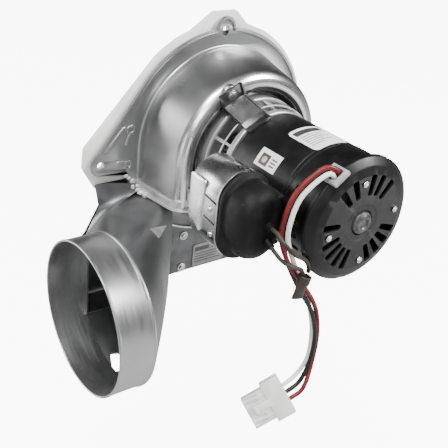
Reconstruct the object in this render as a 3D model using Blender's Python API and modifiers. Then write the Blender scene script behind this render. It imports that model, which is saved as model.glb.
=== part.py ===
"""Combustion fan (furnace draft inducer): drawn scroll housing, discharge elbow, motor and run capacitor.

Frame: the origin is where the shaft axis meets the furnace face of the gasket. +Z is up, +X is to
the right of someone facing the fan, and the motor points to -Y. Most pieces are drawn in a front
view: local x is +X, local y is +Z and local z is the distance out from the furnace, along -Y.
"""

import math

import bmesh
import bpy
from mathutils import Matrix, Vector

MM = 0.001
GAP = 0.3  # clearance between touching pieces

# Driving dimensions, in millimetres. "OUT" is the distance from the furnace face, along -Y.
GASKET_THICK = 3.0
PLATE_OUT = (3.3, 4.3)
FLANGE_OUT = (4.6, 5.8)
FLANGE_R = 76.6
SHEET = 1.1
STEP_R = 63.8
STEP_OUT = 11.5
BULGE_R = 50.5
BULGE_OUT = 40.5
BULGE_TUBE_R = 8.0
RECESS_R = 43.0
RECESS_OUT = 31.0
SCROLL_END_Z = -30.0
EYE_R = 27.0
EAR_X = -93.0
EAR_Z = -9.3
TOP_EAR_Z = 74.6
LOW_TAB = (325.0, 80.0)  # angle and radius of its hole
TAB_HALF = 36.5
TAB_BOTTOM = -113.0

COLLAR_R = 50.7
COLLAR_CENTRE = (66.1, -80.4)  # out, Z
COLLAR_X = (-112.3, -137.0)
ELBOW_START_X = -37.0
ELBOW_BOX_OUT = (6.2, 9.5)
ELBOW_BOX_Z = (-114.0, -27.0)
ELBOW_SQUARENESS = 0.3  # power of the box's sine and cosine
ELBOW_SPREAD = 0.9  # power by which a section grows into the collar's circle
ELBOW_SHOULDER = 2.6  # added to that power at the corner behind and above

SHAFT_R = 4.0
WHEEL_R = 46.0
WHEEL_OUT = (9.0, 28.0)
BLADES = 16
MOTOR_R = 38.1
CAGE_OUT = (41.0, 69.9)
CAGE_R = 41.2
CAGE_TAPER_OUT = 55.6  # where the cage starts to narrow towards the shell
SHELL_OUT = (70.4, 126.0)
BELL_OUT = (126.3, 156.0)
LEG_ANGLES = (117.0, 237.0, 357.0)

CAN_CENTRE = (-57.0, -1.8)  # x, z
CAN_SIZE = (31.0, 52.0)
CAN_OUT = (82.0, 118.0)
STRAP_OUT = (84.0, 113.0)
BOOT_OUT = (113.6, 136.0)

LEAD_D = 3.0
CAP_LEAD_D = 2.6

GROMMET_ANGLE = 126.0
GROMMET_OUT = 151.0
LEAD_SPREAD = 2.15  # from the middle of the bundle to each lead
LEAD_ROUTE = [
    (-23.6, -151.0, 32.4),
    (-25.6, -150.8, 35.2),
    (-30.0, -149.8, 36.6),
    (-37.5, -148.0, 31.8),
    (-45.5, -146.3, 23.0),
    (-49.5, -145.5, 11.0),
    (-50.0, -145.0, -3.0),
    (-43.5, -145.0, -20.0),
    (-30.0, -145.0, -41.5),
    (-17.5, -145.0, -62.0),
    (-11.5, -145.5, -82.5),
    (-13.0, -147.0, -102.0),
    (-21.0, -149.0, -116.0),
    (-30.5, -148.0, -122.0),
]
LEAD_TWIST = [0, 0, 0, 0, 0, 0, 0, 30, 90, 150, 180, 180, 180, 180]
CONNECTOR_AXIS = (-0.808, 0.290, -0.512)
CONNECTOR_ACROSS = (0.198, -0.681, -0.705)
CONNECTOR_PITCH = 4.9
CAP_LEAD_ROUTES = [
    [
        (-55.0, -136.4, 1.0),
        (-56.5, -145.0, 1.5),
        (-56.0, -151.5, -2.0),
        (-49.0, -154.0, -9.5),
        (-39.0, -153.5, -16.5),
        (-35.0, -153.2, -22.5),
        (-34.5, -152.9, -26.0),
    ],
    [
        (-54.0, -136.4, -10.0),
        (-54.5, -143.0, -12.0),
        (-53.5, -149.5, -15.0),
        (-48.0, -152.5, -19.0),
        (-41.4, -153.0, -22.0),
        (-38.6, -152.9, -25.8),
    ],
]
SPLICE_TOP = (-36.3, -152.9, -27.8)

FRONT = Matrix.Rotation(math.radians(90), 4, "X")

COLOURS = {
    "galvanised": ((0.42, 0.43, 0.44), 0.38, 0.9),
    "aluminium": ((0.55, 0.56, 0.57), 0.35, 0.9),
    "zinc": ((0.70, 0.70, 0.70), 0.25, 1.0),
    "steel": ((0.50, 0.50, 0.52), 0.30, 1.0),
    "black_paint": ((0.020, 0.020, 0.021), 0.40, 0.0),
    "black_rubber": ((0.012, 0.012, 0.012), 0.60, 0.0),
    "gasket_fibre": ((0.75, 0.74, 0.70), 0.90, 0.0),
    "foil": ((0.62, 0.62, 0.62), 0.40, 0.6),
    "label_white": ((0.82, 0.82, 0.81), 0.50, 0.0),
    "core_steel": ((0.22, 0.22, 0.24), 0.45, 0.8),
    "copper": ((0.60, 0.24, 0.10), 0.35, 0.9),
    "bronze": ((0.45, 0.30, 0.15), 0.40, 1.0),
    "nylon": ((0.80, 0.80, 0.77), 0.40, 0.0),
    "grommet_grey": ((0.55, 0.56, 0.56), 0.60, 0.0),
    "red_wire": ((0.65, 0.08, 0.08), 0.50, 0.0),
    "white_wire": ((0.82, 0.80, 0.76), 0.50, 0.0),
    "black_wire": ((0.02, 0.02, 0.02), 0.50, 0.0),
    "brown_wire": ((0.20, 0.13, 0.10), 0.55, 0.0),
}


def material(kind):
    """The shared Principled material of one kind."""
    found = bpy.data.materials.get(kind)
    if found:
        return found
    colour, roughness, metallic = COLOURS[kind]
    made = bpy.data.materials.new(kind)
    made.use_nodes = True
    shader = made.node_tree.nodes["Principled BSDF"]
    shader.inputs["Base Color"].default_value = (*colour, 1)
    shader.inputs["Roughness"].default_value = roughness
    shader.inputs["Metallic"].default_value = metallic
    return made


def collection(name):
    made = bpy.data.collections.new(name)
    bpy.context.scene.collection.children.link(made)
    return made


for old in list(bpy.data.objects):
    bpy.data.objects.remove(old)
PARTS = collection("combustion_fan")
CUTTERS = collection("cutters")


def place(name, mesh, kind, matrix=None):
    """A mesh as a named part, or as a hidden cutter when it has no material."""
    made = bpy.data.objects.new(name, mesh)
    if matrix is not None:
        made.matrix_world = matrix
    if kind:
        PARTS.objects.link(made)
        mesh.materials.append(material(kind))
        mesh.shade_smooth()
        mesh.set_sharp_from_angle(angle=math.radians(35))
    else:
        CUTTERS.objects.link(made)
        made.hide_render = True
        made.display_type = "WIRE"
    return made


def flatten(made):
    """The evaluated object as a plain mesh, with its curve caps welded."""
    bpy.context.view_layer.update()
    shown = made.evaluated_get(bpy.context.evaluated_depsgraph_get())
    mesh = bpy.data.meshes.new_from_object(shown)
    work = bmesh.new()
    work.from_mesh(mesh)
    bmesh.ops.remove_doubles(work, verts=work.verts, dist=1e-6)
    work.to_mesh(mesh)
    work.free()
    return mesh


def turned(name, profile, kind, steps=48, matrix=FRONT):
    """A closed profile of (radius, out) in mm, turned about the shaft axis.

    The profile runs down its outer side, from the largest out to the smallest, and back inside.
    """
    mesh = bpy.data.meshes.new(name)
    count = len(profile)
    points = [(radius * MM, 0, out * MM) for radius, out in profile]
    mesh.from_pydata(points, [(i, (i + 1) % count) for i in range(count)], [])
    made = place(name, mesh, kind, matrix)
    screw = made.modifiers.new("turn", "SCREW")
    screw.steps = screw.render_steps = steps
    screw.use_merge_vertices = True
    screw.merge_threshold = 0.00001
    return bake(made)


def bake(made):
    """The object with its modifiers applied, in place."""
    mesh = flatten(made)
    kinds = list(made.data.materials)
    old = made.data
    made.modifiers.clear()
    made.data = mesh
    mesh.materials.clear()
    for kept in kinds:
        mesh.materials.append(kept)
    mesh.shade_smooth()
    mesh.set_sharp_from_angle(angle=math.radians(35))
    bpy.data.meshes.remove(old)
    return made


def plate(name, outlines, out, kind, matrix=FRONT):
    """Flat outlines in mm (the first is the edge, the rest are holes), from out[0] to out[1]."""
    curve = bpy.data.curves.new(name, "CURVE")
    curve.dimensions = "2D"
    curve.fill_mode = "BOTH"
    curve.extrude = (out[1] - out[0]) / 2 * MM
    for outline in outlines:
        spline = curve.splines.new("POLY")
        spline.points.add(len(outline) - 1)
        spline.use_cyclic_u = True
        for point, (x, y) in zip(spline.points, outline):
            point.co = (x * MM, y * MM, 0, 1)
    lift = Matrix.Translation((0, 0, (out[0] + out[1]) / 2 * MM))
    drawn = bpy.data.objects.new(name + "_outline", curve)
    bpy.context.scene.collection.objects.link(drawn)
    drawn.matrix_world = matrix @ lift
    mesh = flatten(drawn)
    made = place(name, mesh, kind, drawn.matrix_world.copy())
    bpy.data.objects.remove(drawn)
    bpy.data.curves.remove(curve)
    return made


def circle(radius, x=0.0, y=0.0, count=32, start=0.0, sweep=360.0):
    """Points of a circle, or of an arc with both its ends."""
    closed = sweep == 360.0
    last = count if closed else count - 1
    turns = [math.radians(start + sweep * i / last) for i in range(count)]
    return [(x + radius * math.cos(turn), y + radius * math.sin(turn)) for turn in turns]


def stadium(width, height, x=0.0, y=0.0, count=10):
    """An upright oval with round ends."""
    radius = width / 2
    reach = height / 2 - radius
    top = circle(radius, x, y + reach, count, 0, 180)
    bottom = circle(radius, x, y - reach, count, 180, 180)
    return top + bottom


def rectangle(left, right, bottom, top):
    return [(left, bottom), (right, bottom), (right, top), (left, top)]


def boolean(made, other, operation):
    """The object joined with, or cut by, another one that is used up."""
    modifier = made.modifiers.new(operation.lower(), "BOOLEAN")
    modifier.operation = operation
    modifier.object = other
    bake(made)
    bpy.data.objects.remove(other)
    return made


def cut(made, other):
    return boolean(made, other, "DIFFERENCE")


def join(made, other):
    return boolean(made, other, "UNION")


def cylinder(name, radius, start, end, kind, sides=24):
    """A round bar between two points in world millimetres."""
    start, end = Vector(start) * MM, Vector(end) * MM
    mesh = bpy.data.meshes.new(name)
    work = bmesh.new()
    bmesh.ops.create_cone(
        work,
        cap_ends=True,
        segments=sides,
        radius1=radius * MM,
        radius2=radius * MM,
        depth=(end - start).length,
    )
    work.to_mesh(mesh)
    work.free()
    turn = (end - start).to_track_quat("Z", "Y").to_matrix().to_4x4()
    return place(name, mesh, kind, Matrix.Translation((start + end) / 2) @ turn)


def block(name, size, matrix, kind):
    """A box of a size in mm, centred on a matrix in world space."""
    mesh = bpy.data.meshes.new(name)
    work = bmesh.new()
    bmesh.ops.create_cube(work, size=1)
    bmesh.ops.scale(work, vec=Vector(size) * MM, verts=work.verts)
    work.to_mesh(mesh)
    work.free()
    return place(name, mesh, kind, matrix)


def at(x, y, z):
    return Matrix.Translation(Vector((x, y, z)) * MM)


def spin(angle):
    """A turn about the shaft axis, seen from the front, anticlockwise from +X."""
    return Matrix.Rotation(math.radians(-angle), 4, "Y")


def strip_outline(points, thick):
    """The closed outline of a bent strip, drawn along one of its faces."""
    line = [Vector(point) for point in points]
    offset = []
    for i, point in enumerate(line):
        before = (point - line[i - 1]).normalized() if i else None
        after = (line[i + 1] - point).normalized() if i < len(line) - 1 else None
        before, after = before or after, after or before
        normal = Vector((-before.y - after.y, before.x + after.x)).normalized()
        reach = thick / max(0.3, normal.dot(Vector((-before.y, before.x))))
        offset.append(point + normal * reach)
    return [tuple(point) for point in line] + [tuple(point) for point in reversed(offset)]


def smooth_line(points, spacing):
    """Evenly spaced points of a Catmull-Rom curve through the given points."""
    knots = [Vector(point) for point in points]
    knots = [knots[0] * 2 - knots[1], *knots, knots[-1] * 2 - knots[-2]]
    dense = []
    for a, b, c, d in zip(knots, knots[1:], knots[2:], knots[3:]):
        for i in range(24):
            t = i / 24
            bend = (2 * a - 5 * b + 4 * c - d) * t**2
            twist = (3 * b - a - 3 * c + d) * t**3
            dense.append((2 * b + (c - a) * t + bend + twist) / 2)
    dense.append(knots[-2])
    length = sum((q - p).length for p, q in zip(dense, dense[1:]))
    count = max(2, round(length / spacing))
    chosen, walked, target = [dense[0]], 0.0, length / count
    for p, q in zip(dense, dense[1:]):
        step = (q - p).length
        while walked + step >= target * len(chosen) and len(chosen) < count:
            chosen.append(p.lerp(q, (target * len(chosen) - walked) / step))
        walked += step
    return [*chosen, dense[-1]]


def lead(name, points, diameter, kind):
    """A round insulated wire through points in world millimetres."""
    curve = bpy.data.curves.new(name, "CURVE")
    curve.dimensions = "3D"
    curve.bevel_depth = diameter / 2 * MM
    curve.bevel_resolution = 2
    curve.use_fill_caps = True
    line = smooth_line(points, diameter * 2.5)
    spline = curve.splines.new("POLY")
    spline.points.add(len(line) - 1)
    for point, place_mm in zip(spline.points, line):
        point.co = (*(place_mm * MM), 1)
    drawn = bpy.data.objects.new(name + "_line", curve)
    bpy.context.scene.collection.objects.link(drawn)
    mesh = flatten(drawn)
    made = place(name, mesh, kind)
    bpy.data.objects.remove(drawn)
    bpy.data.curves.remove(curve)
    return made


# ---------------------------------------------------------------- blower housing


def scroll_profile(inset):
    """The drawn wall of the scroll, as (radius, out), from its back edge to the shaft hole."""
    tube = BULGE_TUBE_R - inset
    bulge = []
    for i in range(8):
        turn = math.radians(-35 + 160 * i / 7)
        bulge.append((BULGE_R + tube * math.cos(turn), BULGE_OUT + tube * math.sin(turn)))
    return [
        (STEP_R + 0.6 - inset, FLANGE_OUT[0] - inset),
        (STEP_R - inset, STEP_OUT - inset),
        (60.4 - inset, 18.0 - inset),
        (57.4 - inset, 29.0 - inset),
        *bulge,
        (RECESS_R + inset, 41.5),
        (RECESS_R - 1.5 + inset, RECESS_OUT + 2.5 - inset),
        (RECESS_R - 4.0 + inset, RECESS_OUT - inset),
    ]


def scroll_solid(name, inset):
    """The filled scroll: the round part and, at the left, the straight run down to its outlet."""
    wall = scroll_profile(inset)
    back = (0.0, wall[0][1])
    centre = (0.0, wall[-1][1])
    round_part = turned(name, [centre, *reversed(wall), back], None)
    run = [(radius, out) for radius, out in wall if radius > RECESS_R - 1]
    run += [(run[-1][0], wall[0][1])]
    end = SCROLL_END_Z - (1.0 if inset else 0.0)
    left_side = Matrix.Rotation(math.radians(180), 4, "Z")
    return join(round_part, plate(name + "_run", [run], (end, 0.0), None, left_side))


def low_tab_centre():
    angle, radius = math.radians(LOW_TAB[0]), LOW_TAB[1]
    return radius * math.cos(angle), radius * math.sin(angle)


def flange_outline():
    """The flat flange: a circle with a tangent ear at the left and a tab at the top and low right."""
    ear_r, tab_r = 7.5, 7.6
    reach = math.hypot(EAR_X, EAR_Z)
    lean = math.degrees(math.acos((FLANGE_R - ear_r) / reach))
    ear_top = 180 + math.degrees(math.atan2(-EAR_Z, -EAR_X)) - lean
    low = math.degrees(math.asin((EAR_Z - ear_r) / FLANGE_R))
    half_tab = math.degrees(math.asin(tab_r / FLANGE_R))
    angle = LOW_TAB[0]
    points = circle(FLANGE_R, count=20, start=angle - 360 + half_tab, sweep=450 - angle - 2 * half_tab)
    points += circle(tab_r, 0, TOP_EAR_Z + 2.6, 9, 0, 180)
    points += circle(FLANGE_R, count=10, start=90 + half_tab, sweep=ear_top - 90 - half_tab)
    points += circle(ear_r, EAR_X, EAR_Z, 9, ear_top, 270 - ear_top)
    points += circle(FLANGE_R, count=26, start=180 - low, sweep=angle - half_tab - 180 + low)
    points += circle(tab_r, *low_tab_centre(), 9, angle - 90, 180)
    return points


def make_housing():
    flange = plate(
        "blower_housing",
        [
            flange_outline(),
            circle(STEP_R - 0.8, count=48),
            circle(2.6, EAR_X, EAR_Z, 12),
            circle(2.6, *low_tab_centre(), 12),
            stadium(4.6, 7.0, 0, TOP_EAR_Z, 7),
        ],
        FLANGE_OUT,
        "galvanised",
    )
    shell = scroll_solid("scroll", 0.0)
    cut(shell, scroll_solid("scroll_hollow", SHEET))
    cut(shell, cylinder("shaft_hole", SHAFT_R + 3.5, (0, -20, 0), (0, -50, 0), None))
    cut(shell, block("outlet_window", (16.0, 15.0, 18.0), at(-54.0, -16.5, -37.0), None))
    join(flange, shell)


def back_outline():
    """The plate behind the scroll, with its lower tab and the part behind the elbow."""
    radius = FLANGE_R - 2.0
    start = -math.degrees(math.acos(TAB_HALF / radius))
    stop = 180 + math.degrees(math.asin(23.0 / radius))
    arc = circle(radius, count=40, start=start, sweep=stop - start)
    wing = [(-96.5, -23.0), (-93.5, -39.0), (-103.5, -57.5), (-111.5, -66.0)]
    return arc + wing + [(-111.5, TAB_BOTTOM), (TAB_HALF, TAB_BOTTOM)]


def gasket_outline():
    """The fibre gasket stands out past the flange, with a corner at each fixing."""
    radius = FLANGE_R + 3.5
    low_x, low_y = low_tab_centre()
    across = Vector((-low_y, low_x)).normalized() * 11
    tip = Vector((low_x, low_y)).normalized() * (LOW_TAB[1] + 10)
    points = circle(radius, count=16, start=-22, sweep=86)
    points += [(20.1, radius - 2.5), (10.0, 87.5), (-9.0, 87.5), (-27.0, radius - 5.0)]
    points += circle(radius, count=5, start=112, sweep=20)
    points += [(-104.0, 3.3), (-105.0, -10.6), (-95.4, -27.5), (-78.0, -22.0)]
    points += circle(radius, count=20, start=198, sweep=114)
    points += [tuple(tip - across * 0.6), tuple(tip + across * 0.6)]
    return points


def make_back():
    plate("back_plate", [back_outline(), circle(EYE_R, count=32)], PLATE_OUT, "galvanised")
    holes = [
        circle(EYE_R + 12.0, count=32),
        circle(3.2, EAR_X, EAR_Z, 10),
        circle(3.2, *low_tab_centre(), 10),
        circle(3.6, 0, TOP_EAR_Z, 10),
    ]
    plate("mounting_gasket", [gasket_outline(), *holes], (0.0, GASKET_THICK), "gasket_fibre")


# ---------------------------------------------------------------- discharge elbow


def elbow_ring(way, count=48):
    """One section of the elbow as (out, Z): a flat box at 0 and the collar's circle at 1.

    The corner behind and above stays square for longer, as a shoulder beside the ear.
    """
    out = (ELBOW_BOX_OUT[0] + ELBOW_BOX_OUT[1]) / 2
    z = (ELBOW_BOX_Z[0] + ELBOW_BOX_Z[1]) / 2
    half_out = (ELBOW_BOX_OUT[1] - ELBOW_BOX_OUT[0]) / 2
    half_z = (ELBOW_BOX_Z[1] - ELBOW_BOX_Z[0]) / 2
    points = []
    for i in range(count):
        turn = 2 * math.pi * i / count
        c, s = math.cos(turn), math.sin(turn)
        box_out = out + half_out * math.copysign(abs(c) ** ELBOW_SQUARENESS, c)
        box_z = z + half_z * math.copysign(abs(s) ** ELBOW_SQUARENESS, s)
        shoulder = -2 * c * s if c < 0 < s else 0.0
        blend = way ** (ELBOW_SPREAD + ELBOW_SHOULDER * shoulder)
        round_out = COLLAR_CENTRE[0] + COLLAR_R * c
        round_z = COLLAR_CENTRE[1] + COLLAR_R * s
        points.append(
            (box_out + (round_out - box_out) * blend, box_z + (round_z - box_z) * blend)
        )
    return points


def make_elbow():
    end_x = COLLAR_X[0] + GAP
    rings = 9
    mesh = bpy.data.meshes.new("outlet_elbow")
    work = bmesh.new()
    rows = []
    for i in range(rings):
        t = i / (rings - 1)
        x = ELBOW_START_X + (end_x - ELBOW_START_X) * t
        row = [work.verts.new((x * MM, -out * MM, z * MM)) for out, z in elbow_ring(t)]
        rows.append(row)
    count = len(rows[0])
    for low, high in zip(rows, rows[1:]):
        for j in range(count):
            k = (j + 1) % count
            work.faces.new((low[j], low[k], high[k], high[j]))
    bmesh.ops.recalc_face_normals(work, faces=work.faces)
    work.to_mesh(mesh)
    work.free()
    elbow = place("outlet_elbow", mesh, "aluminium")
    wall = elbow.modifiers.new("wall", "SOLIDIFY")
    wall.thickness = SHEET * MM
    wall.offset = -1
    bake(elbow)
    beyond = at(end_x - 5.0, -COLLAR_CENTRE[0], COLLAR_CENTRE[1])
    cut(elbow, block("collar_side", (10.0, 120.0, 120.0), beyond, None))
    window = at(-84.0, 0, -85.5)
    join(elbow, block("elbow_rim", (52.4, 10.8, 47.4), window @ at(0, -11.6, 0), None))
    cut(elbow, block("elbow_window", (50.0, 24.0, 45.0), window @ at(0, -16.0, 0), None))
    cut(elbow, scroll_solid("scroll_clearance", -GAP))
    centre = at(0, -COLLAR_CENTRE[0], COLLAR_CENTRE[1])
    across = centre @ Matrix.Rotation(math.radians(-90), 4, "Y")
    profile = [
        (COLLAR_R, -COLLAR_X[1]),
        (COLLAR_R, -COLLAR_X[0]),
        (COLLAR_R - SHEET, -COLLAR_X[0]),
        (COLLAR_R - SHEET, -COLLAR_X[1]),
    ]
    turned("outlet_collar", profile, "aluminium", matrix=across)
    strip = plate(
        "elbow_flange",
        [rectangle(-36.2, -18.0, TAB_BOTTOM + 0.6, -66.0)],
        (4.6, 5.6),
        "aluminium",
    )
    cut(strip, cylinder("flange_room", FLANGE_R + GAP, (0, 1, 0), (0, -9, 0), None, 48))
    for i, z in enumerate((-80.0, -108.0)):
        screw = [(0.0, 7.6), (2.6, 7.4), (3.6, 6.6), (3.6, 5.9), (0.0, 5.9)]
        turned(f"elbow_screw_{i + 1}", screw, "zinc", 14, at(-21.8, 0, z) @ FRONT)
    plate("housing_label", [rectangle(-11.0, 18.5, -111.5, -92.0)], (4.6, 4.8), "foil")


# ---------------------------------------------------------------- wheel, shaft and cooling fan


def make_rotor():
    front, back = WHEEL_OUT[1], WHEEL_OUT[1] - 1.0
    disc_profile = [(WHEEL_R, front), (WHEEL_R, back), (7.3, back), (7.3, front)]
    disc = turned("impeller", disc_profile, "aluminium", 40)
    out = sum(WHEEL_OUT) / 2
    depth = WHEEL_OUT[1] - WHEEL_OUT[0] - 0.4
    for i in range(BLADES):
        sweep = Matrix.Rotation(math.radians(28), 4, "Y")
        spot = spin(360 / BLADES * i) @ at(38.0, -out, 0) @ sweep
        join(disc, block("blade", (15.0, depth, 0.9), spot, None))
    hub = [(7.0, 30.4), (7.0, 16.0), (SHAFT_R + GAP, 16.0), (SHAFT_R + GAP, 30.4)]
    turned("impeller_hub", hub, "steel", 24)
    cylinder("hub_set_screw", 1.6, (0, -20.5, 7.3), (0, -20.5, 10.0), "steel", 12)
    turned("motor_shaft", [(0, 152.6), (SHAFT_R, 152.6), (SHAFT_R, 8.0), (0, 8.0)], "steel", 24)
    core = [(20.2, 124.0), (20.2, 88.0), (SHAFT_R + GAP, 88.0), (SHAFT_R + GAP, 124.0)]
    turned("rotor_core", core, "core_steel", 32)
    fan = turned(
        "cooling_fan",
        [(32.0, 62.6), (32.0, 61.6), (SHAFT_R + GAP, 61.6), (SHAFT_R + GAP, 62.6)],
        "aluminium",
        32,
    )
    for i in range(8):
        spot = spin(45 * i) @ at(20.0, -57.0, 0) @ Matrix.Rotation(math.radians(20), 4, "Y")
        join(fan, block("fan_blade", (20.0, 9.6, 0.9), spot, None))


# ---------------------------------------------------------------- motor


def make_motor():
    rim, face = CAGE_OUT
    cage_profile = [
        (38.6, face),
        (CAGE_R, CAGE_TAPER_OUT),
        (CAGE_R, rim),
        (CAGE_R - 3.2, rim),
        (CAGE_R - 3.2, rim + 1.1),
        (CAGE_R - 1.4, rim + 1.3),
        (CAGE_R - 1.4, CAGE_TAPER_OUT + 0.2),
        (37.2, face - 1.5),
        (9.5, face - 1.5),
        (9.5, face - 5.3),
        (8.2, face - 5.3),
        (8.2, face),
    ]
    cage = turned("front_bell", cage_profile, "zinc")
    for i in range(12):
        spot = spin(15 + 30 * i) @ at(40.0, -59.5, 0)
        cut(cage, block("window", (8.0, 14.0, 18.0), spot, None))
    shell = [
        (MOTOR_R, SHELL_OUT[1]),
        (MOTOR_R, SHELL_OUT[0] + 1.2),
        (MOTOR_R - 1.2, SHELL_OUT[0]),
        (MOTOR_R - 3.0, SHELL_OUT[0]),
        (MOTOR_R - 3.0, SHELL_OUT[0] + 1.1),
        (MOTOR_R - SHEET, SHELL_OUT[0] + 2.2),
        (MOTOR_R - SHEET, SHELL_OUT[1]),
    ]
    turned("motor_shell", shell, "black_paint")
    low, high = BELL_OUT
    bell = turned(
        "rear_bell",
        [
            (8.0, high),
            (30.0, high),
            (35.5, high - 1.4),
            (40.6, high - 5.0),
            (40.6, high - 8.5),
            (38.3, high - 9.5),
            (38.3, low),
            (36.9, low),
            (36.9, high - 9.0),
            (34.2, high - 2.8),
            (29.4, high - 1.4),
            (8.0, high - 1.4),
        ],
        "black_paint",
    )
    room = spin(GROMMET_ANGLE) @ at(42.5, -GROMMET_OUT, 0)
    cut(bell, block("grommet_room", (7.0, 13.8, 12.8), room, None))
    for group in (45, 165, 285):
        for i in range(4):
            angle = group + (i - 1.5) * 17
            slot = spin(angle) @ at(26.0, -high, 0)
            cut(bell, block("vent", (11.0, 6.0, 3.4), slot, None))
    for i in range(6):
        slot = spin(150 + 14 * i) @ at(38.0, -136.0, 0)
        cut(bell, block("side_vent", (6.0, 11.0, 3.6), slot, None))
    turned(
        "rear_hub_cap",
        [(0, 158.2), (4.4, 158.2), (6.8, 156.9), (7.7, 153.6), (0, 153.6)],
        "steel",
        24,
    )
    stator = [(36.4, 124.0), (36.4, 88.0), (21.0, 88.0), (21.0, 124.0)]
    turned("stator_core", stator, "core_steel", 36)
    for name, low, high in (("front_winding", 78.0, 87.7), ("rear_winding", 124.3, 133.0)):
        outer = [(31.0, high), (33.5, high - 2), (33.5, low + 2), (31.0, low)]
        inner = [(24.5, low), (22.5, low + 2), (22.5, high - 2), (24.5, high)]
        turned(name, outer + inner, "copper", 32)
    for name, low, high in (("front_bearing", 64.6, 69.4), ("rear_bearing", 147.0, 152.0)):
        ring = [(7.8, high), (7.8, low), (SHAFT_R + GAP, low), (SHAFT_R + GAP, high)]
        turned(name, ring, "bronze", 24)
    seal = [(7.2, 33.6), (11.0, 33.6), (11.0, 31.3), (SHAFT_R + GAP, 31.3), (SHAFT_R + GAP, 33.6)]
    turned("shaft_seal", seal, "black_rubber", 24)
    for i in range(4):
        bolt = [(0, 157.6), (1.6, 157.4), (2.4, 156.3), (0, 156.3)]
        turned(f"through_bolt_{i + 1}", bolt, "zinc", 10, spin(8 + 90 * i) @ at(26.5, 0, 0) @ FRONT)


def make_legs():
    """Three sheet legs carry the motor on the crest of the housing, each with its screws."""
    profile = [(56.5, 48.9), (46.5, 48.9), (40.2, 66.0), (38.5, 70.0), (38.5, 75.0)]
    outline = strip_outline([(r, out) for r, out in profile], -1.4)
    for i, angle in enumerate(LEG_ANGLES):
        flip = Matrix(((1, 0, 0, 0), (0, -1, 0, 0), (0, 0, -1, 0), (0, 0, 0, 1)))
        plate(f"motor_leg_{i + 1}", [outline], (-9.0, 9.0), "zinc", spin(angle) @ flip)
        screw = [(0.0, 53.0), (2.4, 52.8), (3.4, 52.0), (3.4, 50.6), (0.0, 50.6)]
        spot = spin(angle) @ at(52.4, 0, 0) @ FRONT
        turned(f"leg_screw_{i + 1}", screw, "zinc", 12, spot)


# ---------------------------------------------------------------- run capacitor


def loft(name, sections, kind):
    """A closed solid through oval sections of (width, height, x, z, out)."""
    mesh = bpy.data.meshes.new(name)
    work = bmesh.new()
    rows = []
    for width, height, x, z, out in sections:
        oval = stadium(width, height, x, z, 8)
        rows.append([work.verts.new((px * MM, -out * MM, pz * MM)) for px, pz in oval])
    count = len(rows[0])
    for low, high in zip(rows, rows[1:]):
        for j in range(count):
            k = (j + 1) % count
            work.faces.new((low[j], low[k], high[k], high[j]))
    work.faces.new(rows[0])
    work.faces.new(rows[-1])
    bmesh.ops.recalc_face_normals(work, faces=work.faces)
    work.to_mesh(mesh)
    work.free()
    return place(name, mesh, kind)


def make_capacitor():
    width, height = CAN_SIZE
    x, z = CAN_CENTRE
    plate("capacitor_can", [stadium(width, height, x, z, 8)], CAN_OUT, "aluminium")
    radius = width / 2 + GAP
    reach = height / 2 - width / 2
    wrap = circle(radius, x, z + reach, 9, 60, 120) + circle(radius, x, z - reach, 13, 180, 170)
    bracket = plate("capacitor_bracket", [strip_outline(wrap, -1.3)], STRAP_OUT, "zinc")
    arm = at(x + radius + 0.7, -70.0, z - 16.2)
    join(bracket, block("arm", (1.4, 42.0, 8.0), arm, None))
    join(bracket, block("foot", (12.0, 1.4, 10.0), at(x + 11.0, -49.6, z - 17.2), None))
    start, end = BOOT_OUT
    sections = [
        (width + 4, height + 4, x, z, start),
        (width + 4, height + 4, x, z, start + 5),
        (width + 2, height - 7, x, z + 3, start + 12),
        (width - 3, height - 15, x - 1.0, z + 3, end - 3),
        (width - 9, height - 23, x - 2.0, z + 3, end),
    ]
    boot = loft("capacitor_boot", sections, "black_rubber")
    hollow = [(w - 3.4, h - 3.4, px, pz, out) for w, h, px, pz, out in sections]
    hollow[0] = (*hollow[0][:4], start - 1)
    hollow[-1] = (*hollow[-1][:4], end - 2)
    cut(boot, loft("boot_hollow", hollow, None))
    for i, shift in enumerate((-7.0, 7.0)):
        bottom, high = z + shift - 3.2, z + shift + 3.2
        plate(
            f"capacitor_terminal_{i + 1}",
            [rectangle(x - 0.5, x + 0.5, bottom, high)],
            (CAN_OUT[1] + GAP, CAN_OUT[1] + 7.0),
            "steel",
        )


# ---------------------------------------------------------------- labels, grommet, leads


def curved_patch(name, angles, out, lift, kind):
    """A thin sheet wrapped on the motor shell between two angles."""
    inner = MOTOR_R + lift
    arc = circle(inner, count=10, start=angles[0], sweep=angles[1] - angles[0])
    back = circle(inner + 0.25, count=10, start=angles[1], sweep=angles[0] - angles[1])
    return plate(name, [arc + back], out, kind)


def make_trim():
    curved_patch("rating_label", (72, 112), (96.0, 124.0), 0.1, "label_white")
    curved_patch("approval_sticker", (134, 152), (91.0, 110.0), 0.1, "label_white")
    spot = spin(GROMMET_ANGLE) @ at(41.4, -GROMMET_OUT, 0)
    grommet = block("lead_grommet", (3.2, 13.0, 12.0), spot, "grommet_grey")
    cut(grommet, block("grommet_hole", (8.0, 8.6, 8.4), spot, None))


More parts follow.
